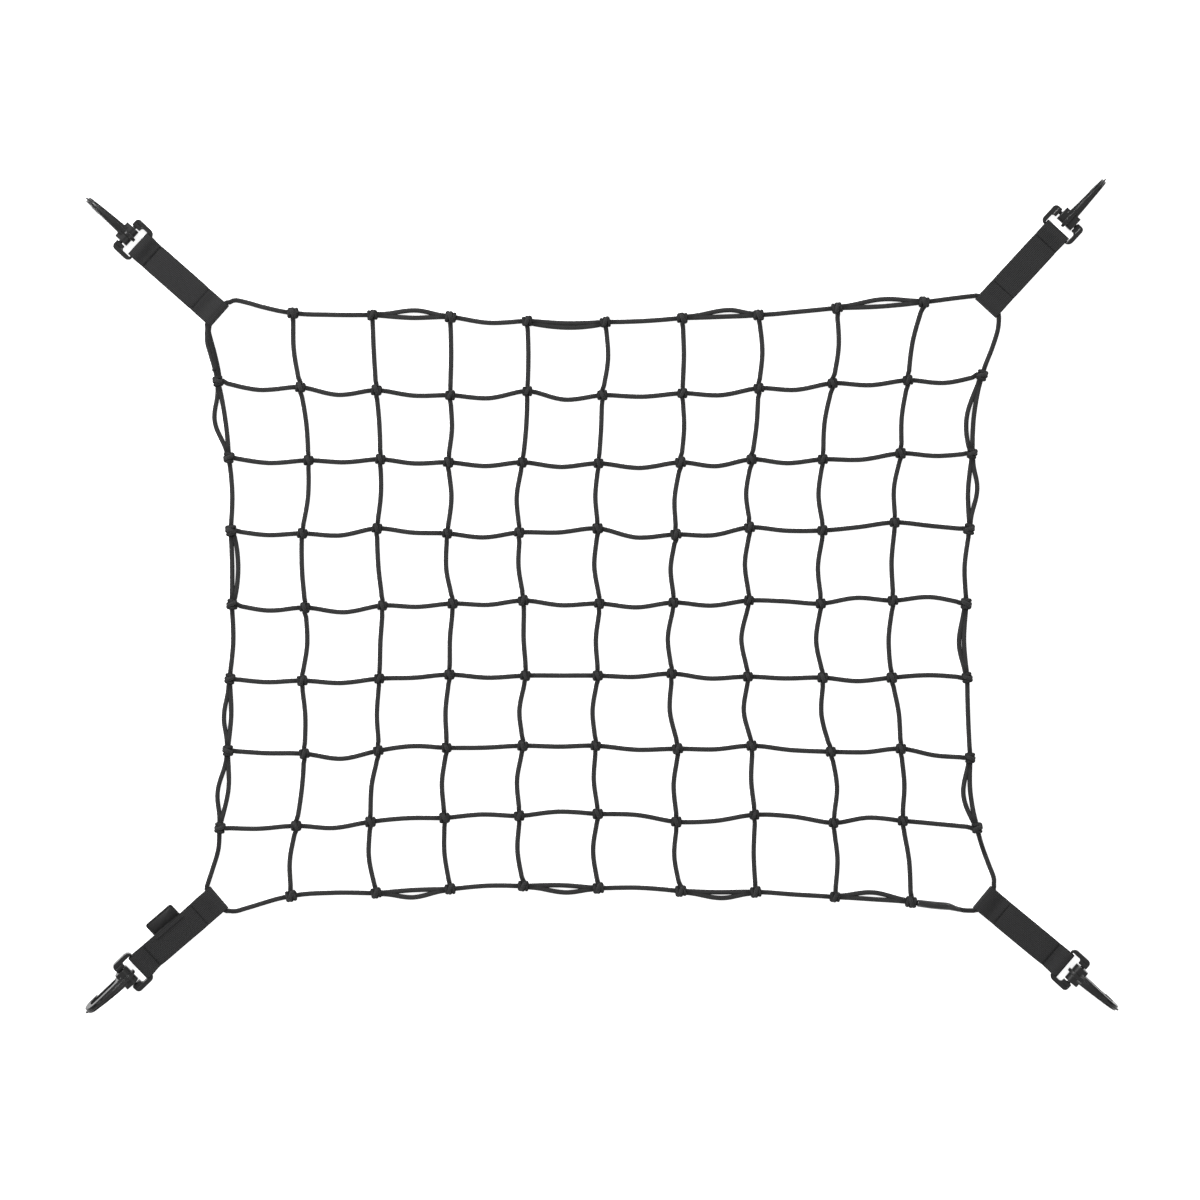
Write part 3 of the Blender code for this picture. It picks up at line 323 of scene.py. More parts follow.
class Graph:
    """The node graph of one material, with short ways to add its nodes."""

    def __init__(self, name):
        self.material = bpy.data.materials.new(name)
        self.material.use_nodes = True
        self.nodes = self.material.node_tree.nodes
        self.links = self.material.node_tree.links
        self.shader = self.nodes["Principled BSDF"]

    def math(self, operation, *values):
        node = self.nodes.new("ShaderNodeMath")
        node.operation = operation
        for index, value in enumerate(values):
            if isinstance(value, (int, float)):
                node.inputs[index].default_value = value
            else:
                self.links.new(value, node.inputs[index])
        return node.outputs[0]

    def scaled(self, value, factor, added=0.0):
        return self.math("MULTIPLY_ADD", value, factor, added)

    def wave(self, value):
        """Rounded humps, one for each unit of value."""
        return self.math("ABSOLUTE", self.math("SINE", self.math("MULTIPLY", value, math.pi)))

    def climb(self, value, low, high):
        """0 below low, 1 above high, and even in between."""
        climb = self.scaled(value, 1.0 / (high - low), -low / (high - low))
        return self.math("MINIMUM", self.math("MAXIMUM", climb, 0.0), 1.0)

    def woven(self, a, b):
        """Threads of two families that pass over and under each other. a and b count them."""
        cell = self.math("ADD", self.math("FLOOR", a), self.math("FLOOR", b))
        over = self.math("PINGPONG", cell, 1.0)
        under = self.math("SUBTRACT", 1.0, over)
        return self.math("ADD", self.math("MULTIPLY", self.wave(a), over),
                         self.math("MULTIPLY", self.wave(b), under))

    def object_place(self):
        return self.nodes.new("ShaderNodeTexCoord").outputs["Object"]

    def uv_place(self, name):
        node = self.nodes.new("ShaderNodeUVMap")
        node.uv_map = name
        return node.outputs["UV"]

    def split(self, vector):
        node = self.nodes.new("ShaderNodeSeparateXYZ")
        self.links.new(vector, node.inputs["Vector"])
        return node.outputs

    def mapped(self, vector, scale=(1.0, 1.0, 1.0), turn=0.0):
        """The vector scaled, and turned by so many degrees about Z."""
        node = self.nodes.new("ShaderNodeMapping")
        node.inputs["Scale"].default_value = scale
        node.inputs["Rotation"].default_value = (0.0, 0.0, math.radians(turn))
        self.links.new(vector, node.inputs["Vector"])
        return node.outputs["Vector"]

    def noise(self, vector, scale, detail, roughness=0.5):
        node = self.nodes.new("ShaderNodeTexNoise")
        node.inputs["Scale"].default_value = scale
        node.inputs["Detail"].default_value = detail
        node.inputs["Roughness"].default_value = roughness
        self.links.new(vector, node.inputs["Vector"])
        return node.outputs["Fac"]

    def colour(self, value, stops):
        """Base colour between stops of (place, grey, blue)."""
        node = self.nodes.new("ShaderNodeValToRGB")
        ramp = node.color_ramp
        while len(ramp.elements) < len(stops):
            ramp.elements.new(0.5)
        for element, (place, grey, blue) in zip(ramp.elements, stops):
            element.position = place
            element.color = (grey, grey, blue, 1.0)
        self.links.new(value, node.inputs["Fac"])
        self.links.new(node.outputs["Color"], self.shader.inputs["Base Color"])

    def roughness(self, value, low, high):
        node = self.nodes.new("ShaderNodeMapRange")
        node.inputs["To Min"].default_value = low
        node.inputs["To Max"].default_value = high
        self.links.new(value, node.inputs["Value"])
        self.links.new(node.outputs["Result"], self.shader.inputs["Roughness"])

    def bump(self, height, distance, strength=1.0):
        node = self.nodes.new("ShaderNodeBump")
        node.inputs["Distance"].default_value = distance
        node.inputs["Strength"].default_value = strength
        self.links.new(height, node.inputs["Height"])
        self.links.new(node.outputs["Normal"], self.shader.inputs["Normal"])

    def finish(self, specular, sheen=None):
        """Sets the even values of the surface and gives back the material."""
        self.shader.inputs["Specular IOR Level"].default_value = specular
        if sheen is not None:
            self.shader.inputs["Sheen Weight"].default_value = sheen
            self.shader.inputs["Sheen Roughness"].default_value = 0.5
        return self.material


def cord_material():
    """Braided cover of an elastic cord: sixteen strands, eight each way, of dull textured yarn.
    Painted shade darkens it down in the creases of a knot, between the heights where knots lie."""
    graph = Graph("braided_cord")
    u, v, _ = graph.split(graph.uv_place("braid"))
    around = graph.math("MULTIPLY", u, 8.0)
    along = graph.math("MULTIPLY", v, 1.0 / (1.7 * MM))
    weave = graph.woven(graph.math("ADD", around, along), graph.math("SUBTRACT", around, along))
    place = graph.object_place()
    fuzz = graph.noise(place, 2600.0, 2.0)
    worn = graph.noise(place, 60.0, 4.0)
    clean = graph.scaled(weave, 0.55, graph.scaled(fuzz, 0.35, graph.math("MULTIPLY", worn, 0.3)))
    up = graph.split(place)["Z"]
    # Painted shade: the colour is darkened between the height of a knot's creases and that of its
    # band.
    crease_shade_start = graph.climb(up, 4.9 * MM, 6.1 * MM)
    crease_shade_end = graph.climb(up, 7.7 * MM, 9.2 * MM)
    tone = graph.scaled(graph.math("SUBTRACT", crease_shade_start, crease_shade_end), -0.36, clean)
    graph.colour(tone, [(0.20, 0.0135, 0.0137), (0.62, 0.0310, 0.0314), (0.95, 0.0540, 0.0546)])
    graph.roughness(worn, 0.72, 0.95)
    graph.bump(graph.scaled(fuzz, 0.35, weave), 0.35 * MM)
    return graph.finish(0.12, 0.03)


def webbing_material():
    """Woven webbing: fine lengthways ribs crossed by the weft, darker towards both edges and a
    little worn in patches."""
    graph = Graph("woven_webbing")
    u, v, _ = graph.split(graph.uv_place("weave"))
    warp = graph.math("MULTIPLY", u, 1.0 / (1.5 * MM))
    weft = graph.math("MULTIPLY", v, 1.0 / (1.25 * MM))
    weave = graph.woven(warp, weft)
    rib = graph.wave(warp)
    place = graph.object_place()
    fuzz = graph.noise(place, 2400.0, 2.0)
    worn = graph.noise(place, 75.0, 4.0)
    # The colour is darker towards both edges of the strap.
    darker_edges = graph.climb(graph.math("ABSOLUTE", u), 11.8 * MM, 12.6 * MM)
    patches = graph.scaled(fuzz, 0.08, graph.math("MULTIPLY", worn, 0.14))
    threads = graph.scaled(rib, 0.34, graph.scaled(weave, 0.12, patches))
    graph.colour(graph.scaled(darker_edges, -0.2, threads),
                 [(0.12, 0.0150, 0.0154), (0.42, 0.0310, 0.0316), (0.72, 0.0430, 0.0440)])
    graph.roughness(worn, 0.66, 0.9)
    graph.bump(graph.scaled(rib, 0.8, graph.scaled(fuzz, 0.25, weave)), 0.28 * MM)
    return graph.finish(0.15, 0.03)


def thread_material():
    """Sewing thread: twisted, a little glossier than the webbing."""
    graph = Graph("sewing_thread")
    u, v, _ = graph.split(graph.uv_place("braid"))
    wave = graph.wave(graph.scaled(v, 1.0 / (0.5 * MM), graph.math("MULTIPLY", u, 3.0)))
    graph.colour(wave, [(0.1, 0.0022, 0.0024), (0.9, 0.0070, 0.0076)])
    graph.roughness(wave, 0.6, 0.42)
    graph.bump(wave, 0.12 * MM)
    return graph.finish(0.3)


def plastic_material():
    """Moulded nylon: fine mould grain, faint flow marks and a few rubbed places."""
    graph = Graph("moulded_plastic")
    place = graph.object_place()
    grain = graph.noise(place, 3200.0, 2.0)
    flow = graph.noise(place, 120.0, 5.0, 0.6)
    scratch = graph.noise(graph.mapped(place, (160.0, 1400.0, 700.0), 43.0), 1.0, 2.0)
    tone = graph.scaled(scratch, 0.4, graph.math("MULTIPLY", flow, 0.6))
    graph.colour(tone, [(0.3, 0.0120, 0.0123), (0.7, 0.0170, 0.0174)])
    graph.roughness(tone, 0.24, 0.38)
    graph.bump(graph.scaled(grain, 0.5, flow), 0.03 * MM, 0.5)
    return graph.finish(0.4)


def label_material():
    """The bare tab: a dense satin weave with a slight gloss."""
    graph = Graph("satin_tab")
    place = graph.object_place()
    x, y, _ = graph.split(graph.mapped(place, turn=-40.6))
    weave = graph.woven(graph.math("MULTIPLY", x, 1.0 / (0.45 * MM)),
                        graph.math("MULTIPLY", y, 1.0 / (0.45 * MM)))
    worn = graph.noise(place, 160.0, 4.0)
    tone = graph.scaled(weave, 0.4, graph.math("MULTIPLY", worn, 0.6))
    graph.colour(tone, [(0.2, 0.0140, 0.0143), (0.8, 0.0270, 0.0275)])
    graph.roughness(worn, 0.42, 0.62)
    graph.bump(weave, 0.07 * MM)
    return graph.finish(0.3)


def sleeve_material():
    """Shrunk tubing: smooth and semi-gloss, with faint lengthways wrinkles."""
    graph = Graph("shrunk_sleeve")
    wrinkle = graph.noise(graph.mapped(graph.uv_place("braid"), (9.0, 60.0, 1.0)), 1.0, 3.0)
    graph.colour(wrinkle, [(0.3, 0.0140, 0.0143), (0.7, 0.0240, 0.0245)])
    graph.roughness(wrinkle, 0.22, 0.36)
    graph.bump(wrinkle, 0.25 * MM)
    return graph.finish(0.5)


CORD = cord_material()
WEBBING = webbing_material()
THREAD = thread_material()
PLASTIC = plastic_material()
LABEL = label_material()
SLEEVE = sleeve_material()


# ---------------------------------------------------------------- meshes


class Shell:
    """Collects points, faces and one UV place for each face corner."""

    def __init__(self):
        self.points = []
        self.faces = []
        self.places = []

    def face(self, corners, places):
        self.faces.append(tuple(corners))
        self.places += places

    def sweep(self, centres, radii, sides):
        """A closed tube whose section doesn't turn about its line more than it must."""
        count = len(centres)
        tangents = []
        for index in range(count):
            ahead = centres[min(index + 1, count - 1)] - centres[max(index - 1, 0)]
            tangents.append(ahead.normalized())
        normal = tangents[0].cross(Vector((0.31, 0.17, 0.93))).normalized()
        start = len(self.points)
        along = 0.0
        runs = []
        for index in range(count):
            if index:
                turn = tangents[index - 1].rotation_difference(tangents[index])
                normal = turn @ normal
                normal = (normal - tangents[index] * normal.dot(tangents[index])).normalized()
                along += (centres[index] - centres[index - 1]).length
            runs.append(along)
            side = tangents[index].cross(normal)
            for corner in range(sides):
                angle = 2 * math.pi * corner / sides
                offset = normal * math.cos(angle) + side * math.sin(angle)
                self.points.append(centres[index] + offset * radii[index])
        for index in range(count - 1):
            low = start + index * sides
            for corner in range(sides):
                following = (corner + 1) % sides
                u, v = corner / sides, (corner + 1) / sides
                self.face(
                    (low + corner, low + following, low + sides + following, low + sides + corner),
                    [(u, runs[index]), (v, runs[index]),
                     (v, runs[index + 1]), (u, runs[index + 1])],
                )
        first = [start + corner for corner in range(sides)]
        last = [start + (count - 1) * sides + corner for corner in range(sides)]
        self.face(first[::-1], [(corner / sides, 0.0) for corner in range(sides)][::-1])
        self.face(last, [(corner / sides, along) for corner in range(sides)])

    def build(self, name, material, body, uv_name="braid"):
        mesh = bpy.data.meshes.new(name)
        mesh.from_pydata([tuple(p) for p in self.points], [], self.faces)
        layer = mesh.uv_layers.new(name=uv_name)
        layer.data.foreach_set("uv", [number for place in self.places for number in place])
        shape = bmesh.new()
        shape.from_mesh(mesh)
        bmesh.ops.recalc_face_normals(shape, faces=shape.faces)
        shape.to_mesh(mesh)
        shape.free()
        mesh.shade_smooth()
        mesh.materials.append(material)
        obj = linked(name, mesh)
        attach(obj, body)
        return obj


def sampled(controls, step=3.6 * MM, least=2):
    """Points and radii of a smooth curve through controls that are (point, radius)."""
    points = [point for point, radius in controls]
    centres, radii = [], []
    for index in range(len(points) - 1):
        length = (points[index + 1] - points[index]).length
        parts = max(math.ceil(length / step), least)
        for part in range(parts):
            share = part / parts
            centres.append(curve_point(points, index + share))
            radii.append(controls[index][1] * (1 - share) + controls[index + 1][1] * share)
    centres.append(points[-1])
    radii.append(controls[-1][1])
    return centres, radii


def swept(name, centres_and_radii, sides, material):
    shell = Shell()
    shell.sweep(*centres_and_radii, sides)
    return shell.build(name, material, "root")


def build_tube(name, controls, replaced, step=3.6 * MM):
    """A cord through the controls, in the place of a node."""
    cord = swept(name, sampled(controls, step), CORD_SIDES, CORD)
    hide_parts(replaced)


# ---------------------------------------------------------------- cords and knots

CORD_SIDES = 12
FINE = 16  # steps of a plan curve between two of its controls


class Line:
    """A plan curve through controls, measured along its length."""

    def __init__(self, controls):
        self.points = smooth_points(controls, FINE)
        self.reach = [0.0]
        for first, second in zip(self.points, self.points[1:]):
            self.reach.append(self.reach[-1] + (second - first).length)

    def at_control(self, index):
        return self.reach[index * FINE]

    def at(self, distance):
        distance = min(max(distance, 0.0), self.reach[-1])
        low, high = 0, len(self.reach) - 1
        while high - low > 1:
            middle = (low + high) // 2
            if self.reach[middle] <= distance:
                low = middle
            else:
                high = middle
        share = (distance - self.reach[low]) / max(self.reach[high] - self.reach[low], 1e-9)
        return self.points[low].lerp(self.points[high], share)


def knot_share(gap):
    """1 inside a knot, 0 once the cord lies on the floor."""
    return 1.0 - smooth_step((gap - 3.0 * MM) / (13.0 * MM))


# How much thicker than the cord a knot is: where a cord runs through it, on the edge cord, and at
# the ends of a second strand, which are hidden in it.
THROUGH_KNOT, ON_EDGE, IN_EDGE = 1.32, 1.25, 0.78
SQUEEZED_WITHIN = 8 * MM
CORD_STEP = 3.0 * MM  # between the sections of the edge cord and of the second strands


def squeezed(gap, share=THROUGH_KNOT):
    """The radius of a cord that runs through a knot, with the inner turns round it."""
    return CORD_SHOWN * (share + (1 - share) * smooth_step((gap - 2.2 * MM) / (1.4 * MM)))


def neighbours_direction(knots, index):
    first = photo_point(knots[max(index - 1, 0)])
    second = photo_point(knots[min(index + 1, len(knots) - 1)])
    return (second - first).normalized()


# A hitch's strand goes round from one angle to the other, with its band on top in the middle.
HITCH_START, HITCH_BAND, HITCH_END = -90, 360, 810
# Angles round the cord that a hitch grips, and how far along that cord the strand is there, in mm.
WRAP = [(-90, 0.0), (0, -2.7), (90, -3.1), (180, -3.1), (270, -2.8), (360, 0.0),
        (450, 2.8), (540, 3.1), (630, 3.1), (720, 2.7), (810, 0.0)]
WRAP_RADIUS_ACROSS = 3.9 * MM
WRAP_RADIUS_UP = 2.6 * MM
BAND_ANGLE = 58.0  # how many degrees of the strand the band takes to either side
BAND_RISE = 1.9 * MM
BAND_WIDENS = 0.25 * MM
BAND_SWELL = 0.1  # how much thicker the strand is in the band, where nothing squeezes it
END_SWELL = 0.26  # and where it comes into the knot and leaves it
END_ANGLE = 40.0
STRAND_IN_KNOT = 1.66 * MM
BALL = 4.4 * MM  # half the knot's reach along the cord that it grips
HITCH_STEP = 30
EDGE_KNOT = 1.06  # how much larger a knot on the border is
EDGE_KNOT_HEIGHT = KNOT_HEIGHT * 1.05
TUCKED = (-150, 870)  # a cord's end goes on round the edge cord and ends under it
TUCKED_REACH = 0.76  # it lies this much closer there
TUCKED_DROP = 0.6 * MM
TUCKED_RADIUS = 1.2 * MM


def wrap_offset(angle):
    """Where the hitch lies along the cord that it grips, for an angle round it."""
    for (a, x), (b, y) in zip(WRAP, WRAP[1:]):
        if a <= angle <= b:
            return (x + (y - x) * smooth_step((angle - a) / (b - a))) * MM
    return 0.0


def bell(distance, width):
    return math.exp(-((distance / width) ** 2))


def hitch(pixel, direction, scale, start, end, mirror):
    """A hitch of two turns round a cord, with the strand's diagonal band across the top. The
    strand comes from the left of direction and leaves on its right."""
    centre = photo_point(pixel, 0.0)
    turn = math.radians(random.uniform(-7, 7))
    along = Matrix.Rotation(turn, 3, "Z") @ direction
    across = Vector((-along.y, along.x, 0.0))
    flip = -1.0 if mirror else 1.0
    grow = scale * random.uniform(0.96, 1.05)
    lean = random.uniform(-0.35, 0.35) * MM
    controls = []
    for angle in range(start, end + 1, HITCH_STEP):
        x = wrap_offset(angle) * flip * grow + lean
        band = bell(angle - HITCH_BAND, BAND_ANGLE)
        ball = math.sqrt(max(1.0 - (x / (BALL * grow)) ** 2, 0.2))
        reach_across = (WRAP_RADIUS_ACROSS * ball + BAND_WIDENS * band) * grow
        if (start != HITCH_START and angle < 0) or (end != HITCH_END and angle > 720):
            reach_across *= TUCKED_REACH
        reach_up = (WRAP_RADIUS_UP + BAND_RISE * band) * grow
        theta = math.radians(angle)
        y = -math.sin(theta) * reach_across
        z = KNOT_HEIGHT * grow + math.cos(theta) * reach_up
        outside = max(bell(angle - HITCH_START, END_ANGLE), bell(angle - HITCH_END, END_ANGLE))
        radius = STRAND_IN_KNOT * (1.0 + BAND_SWELL * band + END_SWELL * outside) * grow
        controls.append((centre + along * x + across * y + Vector((0.0, 0.0, z)), radius))
    for tucked, index in ((start != HITCH_START, 0), (end != HITCH_END, -1)):
        if tucked:
            point = controls[index][0] - Vector((0.0, 0.0, TUCKED_DROP))
            controls[index] = (point, TUCKED_RADIUS)
    return controls


def span_middle(first, second, bow_x, bow_y):
    return ((first[0] + second[0]) / 2 + bow_x, (first[1] + second[1]) / 2 + bow_y)


def net_line(knots, bows, way):
    """The plan line of a cord through its knots, bowed the given way in between."""
    plan = [photo_point(knots[0])]
    for first, second, bow in zip(knots, knots[1:], bows):
        middle = span_middle(first, second, bow * way[0], bow * way[1])
        plan += [photo_point(middle), photo_point(second)]
    return Line(plan)


IN_KNOT = (0.0, 2.2, 3.6, 5.8)  # a cord's controls, in mm from the middle of a knot
BY_KNOT = (8.5, 12.0, 17.0, 24.0)


def free_span(line, first, second, hitched_first, hitched_second):
    """Controls of a cord from one knot to the next, which lies on the floor in between. A hitch
    has points of its own near its knot, and a knot that the cord only runs through has none."""
    start = line.at_control(first)
    end = line.at_control(second)
    distances = [start + d * MM for d in BY_KNOT] + [(start + end) / 2]
    distances += [end - d * MM for d in BY_KNOT[::-1]]
    if not hitched_first:
        distances = [start + d * MM for d in IN_KNOT] + distances
    if not hitched_second:
        distances += [end - d * MM for d in IN_KNOT[:0:-1]]
    controls = []
    for distance in distances:
        gap = min(distance - start, end - distance)
        height = CORD_LOW + (KNOT_HEIGHT - CORD_LOW) * knot_share(gap)
        point = line.at(distance)
        radius = squeezed(gap) if gap < SQUEEZED_WITHIN else CORD_SHOWN
        controls.append((Vector((point.x, point.y, height)), radius))
    return controls


# Knots tied the other way round: the line of knots, and their places in it.
MIRRORED = {
    "top": (1, 3, 4, 7),
    "row_1": (0, 3, 4, 6, 7, 9),
    "row_2": (6, 8),
    "row_3": (0, 6, 7, 8),
    "row_4": (4, 7, 9, 10),
    "row_5": (1, 2, 10),
    "row_6": (0, 1, 2, 6, 10),
    "row_7": (4, 7),
    "bottom": (0, 1, 2, 3, 4, 5, 6, 7),
}


def build_column(column):
    lists = [("top", column), *((row, column + 1) for row in ROW_NAMES), ("bottom", column)]
    knots = [KNOT_ROWS[name][place] for name, place in lists]
    line = net_line(knots, COLUMN_BOWS[column], (1.0, 0.0))
    last = len(knots) - 1
    controls = []
    for index, (name, place) in enumerate(lists):
        start = TUCKED[0] if index == 0 else HITCH_START
        end = TUCKED[1] if index == last else HITCH_END
        scale = EDGE_KNOT if index in (0, last) else 1.0
        direction = neighbours_direction(KNOT_ROWS[name], place)
        controls += hitch(knots[index], direction, scale, start, end, place in MIRRORED[name])
        if index < last:
            controls += free_span(line, 2 * index, 2 * index + 2, True, True)
    build_tube(f"net_column_{column}", controls, f"cord_column_{column}")


def build_row(name):
    knots = KNOT_ROWS[name]
    line = net_line(knots, ROW_BOWS[name], (0.0, 1.0))
    last = len(knots) - 1

    def upward(end):
        from_below = [KNOT_ROWS[other][end] for other in ROW_NAMES][::-1]
        return neighbours_direction(from_below, len(ROW_NAMES) - 1 - ROW_NAMES.index(name))

    mirrored = MIRRORED[name]
    controls = hitch(knots[0], upward(0), EDGE_KNOT, TUCKED[0], HITCH_END, 0 in mirrored)
    for index in range(last):
        controls += free_span(line, 2 * index, 2 * index + 2, index == 0, index == last - 1)
    controls += hitch(knots[-1], upward(-1), EDGE_KNOT, HITCH_START, TUCKED[1], last in mirrored)
    build_tube(f"net_{name}", controls, f"cord_{name}")


def strap_frame(corner):
    inner = photo_point(CORNERS[corner]["inner"])
    outer = photo_point(CORNERS[corner]["outer"])
    along = (outer - inner).normalized()
    across = Vector((-along.y, along.x, 0.0))
    rotation = Matrix((along, across, (0.0, 0.0, 1.0))).transposed()
    return Matrix.Translation(inner) @ rotation.to_4x4(), (outer - inner).length


def edge_side(side):
    if side in ("top", "bottom"):
        return KNOT_ROWS[side], (0.0, 1.0)
    end = 0 if side == "left" else -1
    return [KNOT_ROWS[row][end] for row in ROW_NAMES], (1.0, 0.0)


def corner_controls(corner):
    strap = strap_frame(corner)[0]
    sides = CORNER_CORD[corner]
    half = STRAP_WIDTH / 2
    in_eye = [(CORD_TURN[0], half + CORD_TURN[1]), (CORD_FROM_END, half + CORD_BESIDE_STRAP),
              (CORD_FROM_END, 0.0)]
    controls = [photo_point((x, y), height) for x, y, height in sides["first"][::-1]]
    controls += [strap @ Vector((along, across, CORD_IN_STRAP)) for along, across in in_eye]
    controls += [strap @ Vector((along, -across, CORD_IN_STRAP)) for along, across in in_eye[1::-1]]
    controls += [photo_point((x, y), height) for x, y, height in sides["second"]]
    return controls


# Where the edge cord leaves the sleeve and where it comes back to it, with its height there.
LEAVES_SLEEVE = ((919.0, 902.4), 5.0 * MM)
REACHES_SLEEVE = ((956.0, 907.8), 3.7 * MM)


def build_edge():
    controls = [photo_point(*LEAVES_SLEEVE)]
    knots_at = []

    def add_side(side, reverse):
        knots, way = edge_side(side)
        middles = [
            span_middle(a, b, bow * way[0], bow * way[1])
            for a, b, bow in zip(knots, knots[1:], EDGE_BOWS[side])
        ]
        if reverse:
            knots, middles = knots[::-1], middles[::-1]
        for index, knot in enumerate(knots):
            knots_at.append(len(controls))
            controls.append(photo_point(knot, CORD_LOW))
            if index < len(middles):
                controls.append(photo_point(middles[index], CORD_LOW))

    for side, reverse, corner in (("bottom", True, "bl"), ("left", True, "tl"),
                                  ("top", False, "tr"), ("right", False, "br")):
        add_side(side, reverse)
        controls.extend(corner_controls(corner))
    controls.append(photo_point(*REACHES_SLEEVE))
    plan = [Vector((point.x, point.y, 0.0)) for point in controls]
    line = Line(plan)
    heights = [point.z for point in controls]
    knot_places = [line.at_control(index) for index in knots_at]
    centres, radii = [], []
    total = line.reach[-1]
    count = math.ceil(total / CORD_STEP)
    place = 0
    for step in range(count + 1):
        distance = total * step / count
        while place < len(controls) - 2 and distance > line.at_control(place + 1):
            place += 1
        low, high = line.at_control(place), line.at_control(place + 1)
        share = smooth_step((distance - low) / max(high - low, 1e-9))
        height = heights[place] * (1 - share) + heights[place + 1] * share
        gap = min(abs(distance - knot) for knot in knot_places)
        height += max(EDGE_KNOT_HEIGHT - height, 0.0) * knot_share(gap)
        point = line.at(distance)
        centres.append(Vector((point.x, point.y, height)))
        radii.append(squeezed(gap, ON_EDGE))
    edge = swept("net_edge", (centres, radii), CORD_SIDES, CORD)
    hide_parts("edge_cord")


def build_link(side, span, sign, opens, closes, width):
    """A second strand. It leaves the edge cord and comes back to it in a flat arc."""
    knots, way = edge_side(side)
    first = photo_point(knots[span])
    second = photo_point(knots[span + 1])
    bow_way = Vector((way[0], -way[1], 0.0))
    edge_bow = EDGE_BOWS[side][span] * PIXEL
    edge_controls = [first, (first + second) / 2 + bow_way * edge_bow, second]
    length = (second - first).length
    middle = (opens + closes) / 2
    peak = ARC_TOUCHING + width * PIXEL
    powers = []
    for reach in (opens / middle, (1 - closes) / (1 - middle)):
        shown = (ARC_SHOWS - ARC_START) / (peak - ARC_START)
        power = math.log(shown) / math.log(math.sin(math.pi / 2 * reach))
        powers.append(min(max(power, ARC_POWERS[0]), ARC_POWERS[1]))
    controls = []
    for share in LINK_SHARES:
        rise = share / middle if share < middle else (1 - share) / (1 - middle)
        lift = max(math.sin(math.pi / 2 * rise), 0.0) ** powers[share > middle]
        offset = ARC_START + (peak - ARC_START) * lift
        gap = min(share, 1 - share) * length
        height = CORD_LOW + (KNOT_HEIGHT - CORD_LOW) * knot_share(gap)
        point = curve_point(edge_controls, 2 * share) + bow_way * (sign * offset)
        controls.append((Vector((point.x, point.y, height)), squeezed(gap, IN_EDGE)))
    build_tube(f"net_link_{side}_{span}", controls, f"edge_link_{side}_{span}", CORD_STEP)


def build_corner_link():
    controls = [(photo_point((x, y), height), CORD_SHOWN) for x, y, height in CORNER_LINK]
    build_tube("net_link_corner", controls, "edge_link_corner", CORD_STEP)


def build_whipping():
    """A few turns of thread round the two strands above the upper left knot."""
    x, y, height = WHIPPING_AT
    centre = photo_point((x, y), height)
    along = (photo_point(CORNER_LINK[2][:2]) - photo_point(CORNER_LINK[0][:2])).normalized()
    across = Vector((-along.y, along.x, 0.0))
    controls = []
    steps = 12 * WHIPPING_TURNS
    for step in range(steps + 1):
        angle = math.radians(30 * step)
        side = across * (WHIPPING_ACROSS * math.cos(angle))
        side += Vector((0.0, 0.0, WHIPPING_UP * math.sin(angle)))
        forward = along * ((step / steps - 0.5) * WHIPPING_LENGTH)
        controls.append((centre + forward + side, WHIPPING_THREAD))
    swept("net_whipping", sampled(controls, 1.2 * MM, 1), 8, THREAD)


def build_sleeve():
    controls = [
        (photo_point(at, height * MM), radius * MM) for at, height, radius in SLEEVE_SECTIONS
    ]
    centres, radii = sampled(controls, SLEEVE_STEP)
    radii[0] *= SLEEVE_RIM
    tube = swept("sleeve_tube", (centres, radii), SLEEVE_SIDES, SLEEVE)
    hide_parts("splice_sleeve")


for row_name in ROW_NAMES:
    build_row(row_name)
for column_index in range(COLUMN_COUNT):
    build_column(column_index)
build_edge()
for edge_name, links in LINKS.items():
    for link in links:
        build_link(edge_name, *link)
build_corner_link()
build_whipping()
build_sleeve()


# ---------------------------------------------------------------- straps


def strap_profile(length, inset):
    """The strap's side outline, as distances along it and heights, inset by a thickness: the
    bottom from the inner end to the outer one, the outer fold, and back over the top."""
    corner = FOLD_CORNER + FOLD_CORNER_SHARE * inset
    fold = [(at + inset * along, height + inset * up) for at, height, along, up in FOLD_POINTS]
    fold += [(at, EYE_TOP - height) for at, height in fold[::-1]]
    top = EYE_TOP - inset
    layers_top = STRAP_LAYERS_TOP - inset
    outline = [(corner, inset), (INNER_SLOPE_END, inset)]
    outline += [(share * length, inset) for share in STRAP_STATIONS]
    outline += [(length - OUTER_SLOPE_END, inset), (length - corner, inset)]
    outline += [(length - at, height) for at, height in fold]
    outline += [(length - corner, top), (length - OUTER_EYE_LENGTH, top - EYE_SAG)]
    outline += [(length - OUTER_SLOPE_END, layers_top)]
    outline += [(share * length, layers_top) for share in STRAP_STATIONS[::-1]]
    outline += [(INNER_SLOPE_END, layers_top), (INNER_EYE_LENGTH, top - EYE_SAG)]
    outline += [(corner, top)]
    outline += fold[::-1]
    return outline


def twisted(along, across, height, length, roll):
    """A point of a strap after its twist, which lifts it so that its low edge stays down."""
    share = (along / length - TWIST_START) / (TWIST_END - TWIST_START)
    turn = roll * smooth_step(share)
    y = across * math.cos(turn) - height * math.sin(turn)
    z = across * math.sin(turn) + height * math.cos(turn) + edge_lift(turn)
    return along, y, z


def edge_lift(turn):
    """How far a strap's middle line is lifted by its turn about its length, so that its low edge
    and the low side of the hook's base in its eye stay on the floor."""
    sine = abs(math.sin(turn))
    base_lift = sine * BASE_WIDTH / 2 + math.cos(turn) * (BASE_HEIGHT - EYE_TOP) / 2
    return max(sine * STRAP_WIDTH / 2, base_lift)


